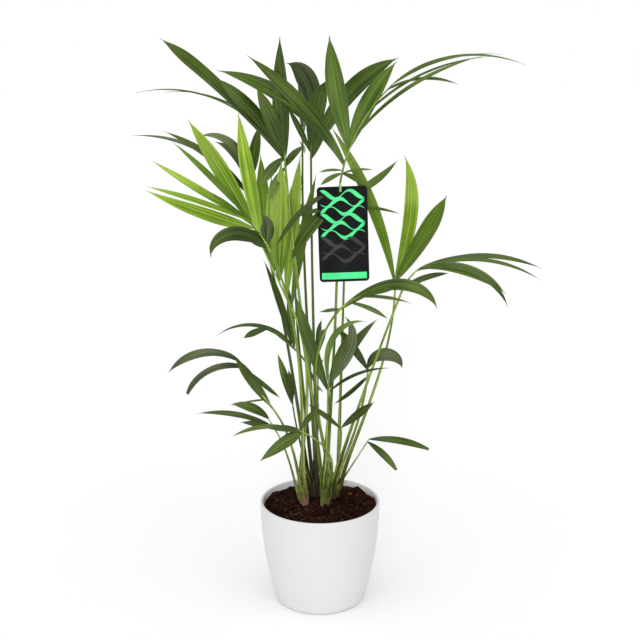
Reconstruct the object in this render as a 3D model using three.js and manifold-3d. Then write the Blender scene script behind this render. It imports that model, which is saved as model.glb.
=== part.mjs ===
// A young kentia palm: four leaf-sheath stems in one tapered pot, each carrying
// several stalks, and on each stalk a short frond of lance-shaped leaflets.
// Millimetres, +Z up. The origin is the centre of the pot's flat underside, and
// the front of the plant faces -Y.

import * as THREE from 'three';
import { mergeVertices } from 'three/addons/utils/BufferGeometryUtils.js';
import Module from 'manifold-3d';

const wasm = await Module();
wasm.setup();

// ---------- driving dimensions ----------

const clearance = 0.3;          // left between two pieces that touch
const roundSides = 26;          // facets round the pot and the soil

const pot = {
  height: 181,
  rimRadius: 104,
  belly: 26.5,                  // how much narrower the wall is at the foot
  footRounding: 6,
  wall: 5,
  floor: 6,
  wallSteps: 4,
  footSteps: 2,
  lipSteps: 3,
};

const soilTop = 163;

const stem = {
  height: 26,
  footRadius: 12,
  topRadius: 10.2,
  neckShare: 0.4,               // share of its height where it has drawn in most of the way
  drawnIn: 0.8,
  seatRing: 7,                  // ring on the stem's top that the stalks stand on
  sides: 10,
};

const stalk = {
  footRadius: 2.8,
  tipRadius: 1.8,
  sides: 5,
  steps: 5,
  riseShare: 0.2,               // share of the span that aims straight at the neck
  bow: 0.03,                    // how far it bows upwards there, as a share of the span
  runShare: 0.35,               // share of the span that runs straight into the frond
};

const blade = {
  thickness: 1.6,
  rachisWidth: 4,
  footWidth: 0.3,               // a leaflet's width at the rachis, as a share of its full width
  taper: 2.2,                   // how late a leaflet narrows to its tip
  stations: 3,                  // sections along a straight leaflet
  sweepStep: 70,                // and one more for each turn of this many degrees
  arcRadius: 200,               // a frond's "out" is how far it leans out at this radius
};

const leafletNorm = { count: 1, late: 1, widest: 0.5, tip: 0 };

const card = {
  width: 82,
  height: 158,
  thickness: 0.8,
  corner: 6,
  cornerSteps: 2,
  centre: [38, -20, 655],
  tilt: -2,                     // degrees, about the line of sight
};

const strap = {
  width: 5,
  height: 12,
  rise: 27,                     // its middle, above the neck of the frond it is tied to
};

const looks = {                 // colour and roughness
  pot: [0xf0efec, 0.35],
  soil: [0x3a241a, 0.95],
  stalk: [0x6f8436, 0.5],
  card: [0x141414, 0.5],
  strap: [0x7fb06a, 0.5],
};

const sheathRoughness = 0.7;
const leafRoughness = 0.45;

// each stem's middle on the soil, how far its top leans to the side, and its colour
const stems = {
  stem_left: { foot: [-25, 22], lean: [-8, 0], colour: 0x9a6a4c },
  stem_middle: { foot: [-10, 55], lean: [-2, 0], colour: 0x4a3426 },
  stem_front: { foot: [9, 18], lean: [2, 0], colour: 0x6f7f3a },
  stem_right: { foot: [23, 50], lean: [7, 0], colour: 0x5f5a30 },
};

const tones = {
  dark: 0x2f4a25,
  middle: 0x4c6b2f,
  bright: 0x86a23c,
  grey: 0x6f8466,
};

// Each frond: the stem it grows on, its neck (where stalk meets blade), its turn about
// the upright, how far it leans out of its own plane, its rachis, and its leaflets, from
// low on the left over the top to low on the right. Headings are degrees from straight
// up, positive to the right. A row is a fan of leaflets or a single one: "at" is the
// place along the rachis, heading and reach lead to the tip, "sweep" is how far a
// leaflet's way turns from its foot to its tip, evenly or late, and a pair of values
// runs from the first leaflet of a fan to the last.
const fronds = {
  crown_left: {
    stem: 'stem_front', neck: [-55, -30, 762], turn: 18, out: 14, tone: 'dark',
    rachis: { length: 45, heading: [-5, 0] },
    fans: [
      { at: 0.1, heading: -145, reach: 62, width: 12, sweep: -15 },
      { at: 0.45, heading: -136, reach: 64, width: 14, sweep: -35 },
      { count: 2, at: [0.3, 0.35], heading: [-65, -60], reach: [274, 224], width: 8, sweep: -72 },
      { at: 0.35, heading: -46, reach: 272, width: 16, sweep: -20, widest: 0.76 },
      { at: 0.4, heading: -41, reach: 180, width: 22, sweep: -28 },
      { at: 0.6, heading: -28, reach: 122, width: 21, sweep: -14 },
      { at: 0.3, heading: -6, reach: 196, width: 22, sweep: 4, widest: 0.4 },
      { at: 0.1, heading: 44, reach: 48, width: 12, sweep: 50 },
    ],
  },
  crown_right: {
    stem: 'stem_front', neck: [30, -10, 700], turn: 8, out: 6, tone: 'middle',
    rachis: { length: 225, heading: [0, 50] },
    fans: [
      { at: 0.14, heading: -130, reach: 142, width: 10, sweep: -45 },
      { count: 2, at: [0, 0.04], heading: [-100, -140], reach: [80, 126], width: [8, 19],
        sweep: [-15, -40] },
      { count: 2, at: [0.24, 0.26], heading: [-118, -94], reach: 40, width: [8, 5], sweep: -35 },
      { at: 0.3, heading: -52, reach: 256, width: 25, sweep: -56, widest: 0.6 },
      { at: 0.31, heading: -50, reach: 214, width: 8, sweep: -42 },
      { at: 0.32, heading: -42, reach: 240, width: 20, sweep: -24 },
      { at: 0.42, heading: -10, reach: 186, width: 27, sweep: 8 },
      { at: 0.42, heading: 29, reach: 160, width: 23, sweep: 26 },
      { count: 3, at: [0.5, 0.95], heading: [56, 75], reach: [236, 178], width: 8, sweep: 44 },
      { count: 2, at: [1, 0.9], heading: [82, 86], reach: [190, 112], width: [7, 9], sweep: 62 },
      { count: 2, at: 0.24, heading: [88, 119], reach: [54, 46], width: [5, 9], sweep: 35 },
      { count: 2, at: [0.05, 0], heading: [57, 99], reach: [118, 107], width: [12, 5],
        sweep: [-30, 20] },
    ],
  },
  left_back: {
    stem: 'stem_middle', neck: [-113, 60, 694], turn: -6, out: 4, tone: 'grey',
    rachis: { length: 60, heading: [-18, -10] },
    fans: [
      { at: 0, heading: -64, reach: 240, width: 8, sweep: -66 },
      { at: 0.1, heading: -51, reach: 190, width: 11, sweep: -34 },
      { at: 0.7, heading: -48, reach: 106, width: 14, sweep: -110, late: 1.5 },
      { at: 0.5, heading: -36, reach: 92, width: 13, sweep: -70, late: 1.5 },
      { at: 0.9, heading: -2, reach: 92, width: 13, sweep: 5 },
      { at: 0.5, heading: 10, reach: 104, width: 17, sweep: 0 },
    ],
  },
  young_left: {
    stem: 'stem_left', neck: [-48, 8, 525], turn: -4, out: 4, tone: 'bright',
    rachis: { length: 160, heading: [-26, -22] },
    fans: [
      { at: 0.92, heading: -70, reach: 190, width: 18, sweep: 6, widest: 0.35 },
      { at: 1, heading: -69, reach: 176, width: 9, sweep: -10 },
      { at: 1, heading: -60, reach: 194, width: 12, sweep: 0 },
      { at: 0.95, heading: -50, reach: 92, width: 8, sweep: -5 },
      { at: 1, heading: -44, reach: 186, width: 9, sweep: -10 },
      { at: 0.92, heading: -31, reach: 212, width: 24, sweep: -6 },
      { at: 0.7, heading: -8, reach: 234, width: 22, sweep: 7 },
      { at: 0.6, heading: -2, reach: 172, width: 20, sweep: 4 },
      { at: 0.42, heading: -1, reach: 168, width: 22, sweep: 3 },
      { at: 0.3, heading: 3, reach: 212, width: 26, sweep: 0 },
      { at: 0.12, heading: 7, reach: 240, width: 19, sweep: 4 },
      { at: 0, heading: 10, reach: 235, width: 14, sweep: 5 },
    ],
  },
  right_upright: {
    stem: 'stem_right', neck: [126, 14, 558], turn: 8, out: 6, tone: 'bright',
    rachis: { length: 35, heading: [0, 8] },
    fans: [
      { at: 0.2, heading: -22, reach: 284, width: 17, sweep: -25 },
      { at: 0.1, heading: 4, reach: 216, width: 22, sweep: -38, late: 2.2, widest: 0.55 },
      { at: 0.3, heading: 25, reach: 172, width: 24, sweep: -8, widest: 0.6 },
    ],
  },
  right_arch: {
    stem: 'stem_right', neck: [134, -34, 562], turn: -8, out: 6, tone: 'dark',
    rachis: { length: 50, heading: [20, 50] },
    fans: [
      { at: 1, heading: 80, reach: 96, width: 8, sweep: 30 },
      { count: 2, at: [1, 0.8], heading: [91, 92], reach: [196, 206], width: [10, 7], sweep: [54, 62] },
      { at: 1, heading: 103, reach: 142, width: 18, sweep: 62 },
      { at: 0.9, heading: 107, reach: 154, width: 12, sweep: 92, late: 1.3 },
      { at: 0.1, heading: 70, reach: 80, width: 12, sweep: 40 },
    ],
  },
  left_arch: {
    stem: 'stem_left', neck: [-80, -30, 359], turn: 8, out: 6, tone: 'grey',
    rachis: { length: 98, heading: [-36, -28] },
    fans: [
      { at: 0.2, heading: -92, reach: 60, width: 6, sweep: -15 },
      { at: 0.9, heading: -114, reach: 106, width: 15, sweep: -95, tip: 0.4 },
      { at: 1, heading: -92, reach: 120, width: 14, sweep: -95 },
      { at: 0.05, heading: -32, reach: 116, width: 15, sweep: 0 },
      { at: 0.85, heading: 131, reach: 78, width: 8, sweep: 0 },
    ],
  },
  crown_back: {
    stem: 'stem_middle', neck: [-15, 50, 768], turn: 10, out: -14, tone: 'middle',
    rachis: { length: 55, heading: [0, 6] },
    fans: [
      { at: 0.2, heading: -28, reach: 90, width: 9, sweep: -8 },
      { at: 0.4, heading: -17, reach: 140, width: 29, sweep: -86, late: 3, widest: 0.7 },
      { at: 0.3, heading: 12, reach: 120, width: 27, sweep: 24, late: 2, widest: 0.6 },
      { at: 0.1, heading: 42, reach: 218, width: 27, sweep: 46, late: 1.5, widest: 0.6 },
      { at: 0, heading: 26, reach: 62, width: 10, sweep: 10 },
    ],
  },
  low_left: {
    stem: 'stem_left', neck: [-76, 10, 304], turn: 0, out: 6, tone: 'dark',
    rachis: { length: 25, heading: [-30, -30] },
    fans: [
      { at: 0.2, heading: -74, reach: 60, width: 12, sweep: -30 },
      { at: 0.3, heading: -84, reach: 138, width: 11, sweep: -44 },
      { at: 1, heading: -68, reach: 70, width: 15, sweep: -60 },
    ],
  },
  low_front: {
    stem: 'stem_front', neck: [8, -50, 296], turn: 6, out: 6, tone: 'dark',
    rachis: { length: 60, heading: [-40, -70] },
    fans: [
      { at: 0.8, heading: -122, reach: 84, width: 18, sweep: -10, widest: 0.3 },
      { at: 1, heading: -98, reach: 108, width: 7, sweep: -50 },
      { at: 0.8, heading: -80, reach: 56, width: 10, sweep: -36 },
      { at: 0.9, heading: 36, reach: 58, width: 9, sweep: 5 },
    ],
  },
  left_mid: {
    stem: 'stem_middle', neck: [-44, 24, 448], turn: -8, out: 6, tone: 'dark',
    rachis: { length: 60, heading: [-50, -55] },
    fans: [
      { at: 0.95, heading: -112, reach: 47, width: 11, sweep: -30 },
      { at: 0.05, heading: -83, reach: 137, width: 9, sweep: -95, widest: 0.35 },
      { at: 0.1, heading: -19, reach: 158, width: 11, sweep: -14 },
      { at: 0, heading: -7, reach: 105, width: 11, sweep: 6 },
    ],
  },
  front_left: {
    stem: 'stem_left', neck: [-80, -56, 634], turn: 16, out: 8, tone: 'dark',
    rachis: { length: 35, heading: [-25, -35] },
    fans: [
      { at: 0.4, heading: -101, reach: 91, width: 20, sweep: -132, late: 1.8, widest: 0.4 },
      { at: 0.2, heading: -52, reach: 50, width: 20, sweep: -15 },
      { at: 0.4, heading: -9, reach: 50, width: 22, sweep: -70, late: 2 },
    ],
  },
  right_mid: {
    stem: 'stem_front', neck: [30, -56, 535], turn: -10, out: 8, tone: 'dark',
    rachis: { length: 45, heading: [40, 66] },
    fans: [
      { at: 0.1, heading: -98, reach: 34, width: 8, sweep: -20 },
      { at: 0.1, heading: 87, reach: 156, width: 18, sweep: 112, late: 2, widest: 0.62 },
      { at: 1, heading: 74, reach: 62, width: 11, sweep: 20 },
      { at: 0.9, heading: 92, reach: 90, width: 8, sweep: 30 },
      { at: 0.5, heading: 113, reach: 72, width: 8, sweep: 35 },
    ],
  },
  centre: {
    stem: 'stem_front', neck: [14, -40, 390], turn: 6, out: 10, tone: 'dark',
    rachis: { length: 30, heading: [0, 6] },
    fans: [
      { at: 0.1, heading: -17, reach: 164, width: 18, sweep: 8 },
      { at: 0.5, heading: 12, reach: 118, width: 16, sweep: -90, late: 3 },
      { at: 0.2, heading: 20, reach: 98, width: 13, sweep: 5 },
      { at: 0.5, heading: 28, reach: 126, width: 9, sweep: 110, late: 2 },
      { at: 0.3, heading: 36, reach: 142, width: 16, sweep: 22 },
      { at: 0, heading: 68, reach: 112, width: 6, sweep: 45 },
    ],
  },
  right_small: {
    stem: 'stem_right', neck: [80, -14, 410], turn: -8, out: 6, tone: 'dark',
    rachis: { length: 18, heading: [5, 5] },
    fans: [
      { at: 0, heading: -131, reach: 75, width: 9, sweep: 8 },
      { at: 0.6, heading: -36, reach: 93, width: 13, sweep: -12 },
      { at: 0.8, heading: 90, reach: 56, width: 19, sweep: 170 },
    ],
  },
  low_fork: {
    stem: 'stem_front', neck: [36, -42, 320], turn: -8, out: 6, tone: 'dark',
    rachis: { length: 10, heading: [0, 0] },
    fans: [
      { count: 2, at: [0.6, 0.9], heading: [-50, 51], reach: [74, 70], width: [8, 12],
        sweep: [-12, 6] },
    ],
  },
  low_right: {
    stem: 'stem_right', neck: [78, 0, 282], turn: -6, out: 6, tone: 'dark',
    rachis: { length: 12, heading: [30, 30] },
    fans: [
      { count: 2, at: [1, 0.6], heading: [96, 135], reach: [104, 74], width: 11, sweep: [30, 22],
        tip: 0.4 },
    ],
  },
  left_low: {
    stem: 'stem_middle', neck: [-46, 25, 338], turn: -8, out: 5, tone: 'dark',
    rachis: { length: 16, heading: [-8, -8] },
    fans: [
      { count: 2, at: [0.4, 0.9], heading: [-15, -2], reach: [100, 66], width: [12, 9], sweep: -6 },
    ],
  },
  back_left: {
    stem: 'stem_middle', neck: [-44, 96, 560], turn: 94, out: 4, tone: 'middle',
    rachis: { length: 125, heading: [24, 72] },
    fans: [
      { count: 4, at: [0.2, 0.95], heading: [-20, 36], reach: [80, 95], width: [15, 19],
        sweep: [-40, 10] },
      { count: 5, at: [1, 0.2], heading: [66, 112], reach: [120, 100], width: 17, sweep: [20, 50] },
    ],
  },
  back_right: {
    stem: 'stem_right', neck: [42, 96, 556], turn: 86, out: -4, tone: 'dark',
    rachis: { length: 125, heading: [30, 80] },
    fans: [
      { count: 4, at: [0.2, 0.95], heading: [-14, 40], reach: [76, 90], width: [15, 19],
        sweep: [-40, 10] },
      { count: 5, at: [1, 0.2], heading: [70, 116], reach: [120, 96], width: 17, sweep: [20, 50] },
    ],
  },
  back_high: {
    stem: 'stem_middle', neck: [-30, 92, 742], turn: 90, out: 0, tone: 'middle',
    rachis: { length: 130, heading: [14, 82] },
    fans: [
      { count: 4, at: [0.2, 0.95], heading: [-8, 44], reach: [80, 112], width: [15, 20],
        sweep: [-20, 10] },
      { count: 5, at: [1, 0.35], heading: [70, 104], reach: [130, 110], width: 18, sweep: [20, 40] },
    ],
  },
  back_low: {
    stem: 'stem_right', neck: [-4, 98, 330], turn: 90, out: 2, tone: 'dark',
    rachis: { length: 105, heading: [34, 80] },
    fans: [
      { count: 3, at: [0.2, 0.95], heading: [-10, 40], reach: [64, 78], width: [13, 16],
        sweep: [-20, 10] },
      { count: 4, at: [1, 0.2], heading: [72, 112], reach: [98, 80], width: 14, sweep: [20, 45] },
    ],
  },
};

// ---------- small helpers ----------

const mix = THREE.MathUtils.lerp;
const radians = THREE.MathUtils.degToRad;
const degrees = THREE.MathUtils.radToDeg;
const upright = new THREE.Vector3(0, 0, 1);

function material([colour, roughness]) {
  return new THREE.MeshStandardMaterial({ color: colour, roughness, metalness: 0 });
}

function closedGeometry(positions, triangles) {
  const geometry = new THREE.BufferGeometry();
  geometry.setAttribute('position', new THREE.Float32BufferAttribute(positions, 3));
  geometry.setIndex(triangles);
  return geometry;
}

// a profile of (radius, height) points turned about the upright axis
function turned(profile, sides) {
  const points = profile.map(([radius, height]) => new THREE.Vector2(radius, height));
  const geometry = new THREE.LatheGeometry(points, sides);
  geometry.rotateX(Math.PI / 2);
  return geometry;
}

// ---------- pot and soil ----------

// the wall leans in towards the foot with the square of the distance from the rim
function potRadius(height) {
  const depth = 1 - height / pot.height;
  return pot.rimRadius - pot.belly * depth * depth;
}

function wallProfile(from, to, inset) {
  const profile = [];
  for (let step = 0; step <= pot.wallSteps; step += 1) {
    const height = mix(from, to, step / pot.wallSteps);
    profile.push([potRadius(height) - inset, height]);
  }
  return profile;
}

function arcProfile(centre, radius, from, to, steps) {
  const profile = [];
  for (let step = 0; step <= steps; step += 1) {
    const angle = radians(mix(from, to, step / steps));
    profile.push([centre[0] + radius * Math.cos(angle), centre[1] + radius * Math.sin(angle)]);
  }
  return profile;
}

function potGeometry() {
  const lip = pot.wall / 2;
  const lipHeight = pot.height - lip;
  const footCentre = [potRadius(pot.footRounding) - pot.footRounding, pot.footRounding];
  const profile = [
    [0, 0],
    ...arcProfile(footCentre, pot.footRounding, -90, 0, pot.footSteps),
    ...wallProfile(pot.footRounding, lipHeight, 0).slice(1),
    ...arcProfile([potRadius(lipHeight) - lip, lipHeight], lip, 0, 180, pot.lipSteps).slice(1),
    ...wallProfile(lipHeight, pot.floor, pot.wall).slice(1),
    [0, pot.floor],
  ];
  return turned(profile, roundSides);
}

function soilGeometry() {
  const base = pot.floor + clearance;
  const profile = [
    [0, base],
    ...wallProfile(base, soilTop, pot.wall + 2 * clearance),
    [0, soilTop],
  ];
  return turned(profile, roundSides);
}

// ---------- stems and stalks ----------

// a turned stem, pushed over by its lean
function stemGeometry({ foot, lean }) {
  const profile = [
    [0, 0],
    [stem.footRadius, 0],
    [mix(stem.footRadius, stem.topRadius, stem.drawnIn), stem.neckShare * stem.height],
    [stem.topRadius, stem.height],
    [0, stem.height],
  ];
  const geometry = turned(profile, stem.sides);
  geometry.applyMatrix4(new THREE.Matrix4().set(
    1, 0, lean[0] / stem.height, foot[0],
    0, 1, lean[1] / stem.height, foot[1],
    0, 0, 1, soilTop + clearance,
    0, 0, 0, 1,
  ));
  return geometry;
}

// a round limb along a curve, thinning evenly from its foot, which is cut level, to its tip
function limbGeometry(curve, footRadius, tipRadius) {
  const { sides, steps } = stalk;
  const frames = curve.computeFrenetFrames(steps, false);
  const along = frames.tangents[0];
  const positions = [];
  const triangles = [];
  for (let step = 0; step <= steps; step += 1) {
    const centre = curve.getPointAt(step / steps);
    const radius = mix(footRadius, tipRadius, step / steps);
    for (let side = 0; side < sides; side += 1) {
      const angle = (2 * Math.PI * side) / sides;
      const point = centre.clone()
        .addScaledVector(frames.normals[step], radius * Math.cos(angle))
        .addScaledVector(frames.binormals[step], radius * Math.sin(angle));
      if (step === 0) {
        point.addScaledVector(along, (centre.z - point.z) / along.z);
      }
      positions.push(point.x, point.y, point.z);
    }
  }
  for (let step = 0; step < steps; step += 1) {
    for (let side = 0; side < sides; side += 1) {
      const a = step * sides + side;
      const b = step * sides + ((side + 1) % sides);
      triangles.push(a, b, a + sides, b, b + sides, a + sides);
    }
  }
  const last = steps * sides;
  for (let side = 1; side < sides - 1; side += 1) {
    triangles.push(0, side + 1, side);
    triangles.push(last, last + side, last + side + 1);
  }
  return closedGeometry(positions, triangles);
}

function apart(one, other) {
  return Math.abs(Math.atan2(Math.sin(one - other), Math.cos(one - other)));
}

// the stalks of one stem stand in a ring on its top. The lowest frond's stalk, the
// oldest, takes the seat on the side it leans to, and each higher one the free seat
// nearest to its own side, so that it passes over those below
function seatsOf(stemName) {
  const { foot, lean } = stems[stemName];
  const [x, y] = [foot[0] + lean[0], foot[1] + lean[1]];
  const carried = Object.keys(fronds).filter((name) => fronds[name].stem === stemName);
  carried.sort((one, other) => fronds[one].neck[2] - fronds[other].neck[2]);
  const bearing = (name) => Math.atan2(fronds[name].neck[1] - y, fronds[name].neck[0] - x);
  const first = bearing(carried[0]);
  const free = carried.map((_, place) => first + (2 * Math.PI * place) / carried.length);
  return carried.map((name) => {
    free.sort((one, other) => apart(one, bearing(name)) - apart(other, bearing(name)));
    const angle = free.shift();
    const seat = new THREE.Vector3(
      x + stem.seatRing * Math.cos(angle),
      y + stem.seatRing * Math.sin(angle),
      soilTop + stem.height + 2 * clearance,
    );
    return [name, seat];
  });
}

// leaves its seat towards the neck and runs straight into the foot of the rachis, which
// it stops just short of
function stalkCurve(seat, frond, extra) {
  const plane = planeOf(frond);
  const run = plane.direction(frond.rachis.heading[0]);
  const neck = plane.place(0, 0).addScaledVector(run, extra - clearance);
  const span = seat.distanceTo(neck);
  return new THREE.CubicBezierCurve3(
    seat,
    seat.clone().lerp(neck, stalk.riseShare).addScaledVector(upright, stalk.bow * span),
    neck.clone().addScaledVector(run, -stalk.runShare * span),
    neck,
  );
}

function stalkGeometry(seat, frond, extra) {
  const curve = stalkCurve(seat, frond, extra);
  return limbGeometry(curve, stalk.footRadius + extra, stalk.tipRadius + extra);
}

// ---------- fronds ----------

// a frond lies in an upright plane turned about its neck, and leans out of it with
// the square of the distance from the neck
function planeOf(frond) {
  const turn = radians(frond.turn);
  const across = new THREE.Vector3(Math.cos(turn), Math.sin(turn), 0);
  const facing = new THREE.Vector3(Math.sin(turn), -Math.cos(turn), 0);
  const neck = new THREE.Vector3(...frond.neck);
  const lean = (side, rise) => frond.out * (side * side + rise * rise) / blade.arcRadius ** 2;
  return {
    facing,
    direction: (heading) => across.clone().multiplyScalar(Math.sin(radians(heading)))
      .addScaledVector(upright, Math.cos(radians(heading))),
    place: (side, rise, lift = 0) => neck.clone()
      .addScaledVector(across, side)
      .addScaledVector(upright, rise)
      .addScaledVector(facing, lean(side, rise) + lift),
  };
}

function step2([side, rise], heading, length) {
  const angle = radians(heading);
  return [side + length * Math.sin(angle), rise + length * Math.cos(angle)];
}

// the rachis turns evenly from its first heading to its last, and this is the chord
function rachisPoint(rachis, share) {
  const heading = mix(rachis.heading[0], rachis.heading[1], share / 2);
  return step2([0, 0], heading, rachis.length * share);
}

// a value, or the value at a share between a pair
function between(value, share) {
  return Array.isArray(value) ? mix(...value, share) : value;
}

function leafletsOf(frond) {
  const leaflets = [];
  for (const fan of frond.fans) {
    const row = { ...leafletNorm, ...fan };
    for (let place = 0; place < row.count; place += 1) {
      const share = place / Math.max(row.count - 1, 1);
      leaflets.push({
        ...row,
        root: rachisPoint(frond.rachis, between(row.at, share)),
        heading: between(row.heading, share),
        reach: between(row.reach, share),
        width: between(row.width, share),
        sweep: between(row.sweep, share),
      });
    }
  }
  return leaflets;
}

// a leaflet's mid line, as points with the heading there: its way turns by the sweep,
// and is then turned and scaled so that its tip lies at heading and reach
function leafletLine(leaflet) {
  const steps = blade.stations + Math.round(Math.abs(leaflet.sweep) / blade.sweepStep);
  const way = (share) => leaflet.sweep * share ** leaflet.late;
  let end = [0, 0];
  const path = [end];
  for (let step = 0; step < steps; step += 1) {
    end = step2(end, way((step + 0.5) / steps), 1);
    path.push(end);
  }
  const turn = leaflet.heading - degrees(Math.atan2(...end));
  const scale = leaflet.reach / Math.hypot(...end);
  return path.map((place, step) => ({
    share: step / steps,
    point: step2(leaflet.root, degrees(Math.atan2(...place)) + turn, scale * Math.hypot(...place)),
    heading: way(step / steps) + turn,
  }));
}

// the share of its full width that a leaflet has at a share of its way: it swells as a
// quarter of a sine, and narrows past the widest place
function lanceWidth({ widest, tip }, share) {
  const swell = mix(blade.footWidth, 1, Math.sin((Math.PI / 2) * Math.min(share / widest, 1)));
  const past = Math.max((share - widest) / (1 - widest), 0);
  return swell * (1 - (1 - tip) * past ** blade.taper);
}

// a flat outline of a lance-shaped leaflet: up its left edge, round the tip, and back
function leafletOutline(leaflet, extra) {
  const line = leafletLine(leaflet);
  const last = line.pop();
  const edge = (turn) => line.map(({ share, point, heading }) => {
    const half = (leaflet.width * lanceWidth(leaflet, share)) / 2 + extra;
    return step2(point, heading + turn, half);
  });
  return [...edge(-90), step2(last.point, last.heading, extra), ...edge(90).reverse()];
}

function rachisOutline({ rachis }, extra) {
  const half = blade.rachisWidth / 2 + extra;
  const shares = [0, 0.5, 1];
  const edge = (turn) => shares.map((share) => {
    return step2(rachisPoint(rachis, share), mix(...rachis.heading, share) + turn, half);
  });
  return [...edge(-90), ...edge(90).reverse()];
}

// an outline given a thickness: triangulated in front and behind, with a wall of
// quads round the edge
function sheetSolid(outline, thickness) {
  const points = outline.map(([side, rise]) => new THREE.Vector2(side, rise));
  if (THREE.ShapeUtils.isClockWise(points)) {
    points.reverse();
  }
  const count = points.length;
  const positions = [];
  for (const lift of [thickness / 2, -thickness / 2]) {
    for (const point of points) {
      positions.push(point.x, point.y, lift);
    }
  }
  const triangles = [];
  for (const [a, b, c] of THREE.ShapeUtils.triangulateShape(points, [])) {
    triangles.push(a, b, c, count + a, count + c, count + b);
  }
  for (let a = 0; a < count; a += 1) {
    const b = (a + 1) % count;
    triangles.push(a, count + a, b, b, count + a, count + b);
  }
  return toSolid(closedGeometry(positions, triangles));
}

// the rachis with every leaflet joined to it, made flat and then set in its place
function bladeSolid(frond, extra) {
  const thickness = blade.thickness + 2 * extra;
  let flat = sheetSolid(rachisOutline(frond, extra), thickness);
  for (const leaflet of leafletsOf(frond)) {
    flat = flat.add(sheetSolid(leafletOutline(leaflet, extra), thickness));
  }
  const plane = planeOf(frond);
  const mesh = flat.getMesh();
  const positions = [];
  for (let at = 0; at < mesh.vertProperties.length; at += mesh.numProp) {
    const [side, rise, lift] = mesh.vertProperties.slice(at, at + 3);
    positions.push(...plane.place(side, rise, lift).toArray());
  }
  return toSolid(closedGeometry(positions, Array.from(mesh.triVerts)));
}

// ---------- hang card ----------

function cardGeometry() {
  const [halfWidth, halfHeight] = [card.width / 2, card.height / 2];
  const shape = new THREE.Shape();
  shape.absarc(halfWidth - card.corner, halfHeight - card.corner, card.corner, 0, Math.PI / 2);
  shape.absarc(card.corner - halfWidth, halfHeight - card.corner, card.corner, Math.PI / 2, Math.PI);
  shape.absarc(card.corner - halfWidth, card.corner - halfHeight, card.corner, Math.PI, 1.5 * Math.PI);
  shape.absarc(halfWidth - card.corner, card.corner - halfHeight, card.corner, 1.5 * Math.PI, 2 * Math.PI);
  const settings = { depth: card.thickness, bevelEnabled: false, curveSegments: card.cornerSteps };
  const geometry = new THREE.ExtrudeGeometry(shape, settings);
  geometry.translate(0, 0, -card.thickness / 2);
  geometry.rotateX(Math.PI / 2);
  geometry.rotateY(radians(card.tilt));
  geometry.translate(...card.centre);
  return geometry;
}

// the strap fills the room between the card's back and the rachis it is tied to
function strapGeometry(tiedTo) {
  const neck = fronds[tiedTo].neck;
  const front = card.centre[1] + card.thickness / 2 + clearance;
  const back = neck[1] - blade.thickness / 2 - 2 * clearance;
  const geometry = new THREE.BoxGeometry(strap.width, back - front, strap.height);
  geometry.translate(neck[0], (front + back) / 2, neck[2] + strap.rise);
  return geometry;
}

// ---------- cutting blades clear of each other ----------

function toSolid(geometry) {
  const bare = geometry.clone();
  bare.deleteAttribute('normal');
  bare.deleteAttribute('uv');
  const merged = mergeVertices(bare);
  const vertProperties = new Float32Array(merged.attributes.position.array);
  const triVerts = new Uint32Array(merged.index.array);
  return new wasm.Manifold(new wasm.Mesh({ numProp: 3, vertProperties, triVerts }));
}

function toGeometry(solid) {
  const { vertProperties, triVerts } = solid.getMesh();
  return closedGeometry(Array.from(vertProperties), Array.from(triVerts));
}

// what is left of a solid once its neighbours are cut away, as its largest piece
function clearOf(solid, neighbours) {
  let rest = solid;
  for (const neighbour of neighbours) {
    rest = rest.subtract(neighbour);
  }
  const pieces = rest.decompose();
  return pieces.reduce((best, piece) => (piece.volume() > best.volume() ? piece : best));
}

// ---------- assembly ----------

const palm = new THREE.Group();

function add(name, geometry, look) {
  const mesh = new THREE.Mesh(geometry, look);
  mesh.name = name;
  palm.add(mesh);
}

add('pot', potGeometry(), material(looks.pot));
add('soil', soilGeometry(), material(looks.soil));

for (const [name, place] of Object.entries(stems)) {
  add(name, stemGeometry(place), material([place.colour, sheathRoughness]));
}

const taken = [];
for (const stemName of Object.keys(stems)) {
  for (const [name, seat] of seatsOf(stemName)) {
    add(`stalk_${name}`, stalkGeometry(seat, fronds[name], 0), material(looks.stalk));
    taken.push(toSolid(stalkGeometry(seat, fronds[name], clearance)));
  }
}

add('label_card', cardGeometry(), material(looks.card));
add('label_strap', strapGeometry('crown_right'), material(looks.strap));
taken.push(toSolid(cardGeometry()), toSolid(strapGeometry('crown_right')));

for (const [name, frond] of Object.entries(fronds)) {
  const whole = clearOf(bladeSolid(frond, 0), taken);
  add(`frond_${name}`, toGeometry(whole), material([tones[frond.tone], leafRoughness]));
  taken.push(bladeSolid(frond, clearance));
}

export default palm;
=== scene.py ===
import math

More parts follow.
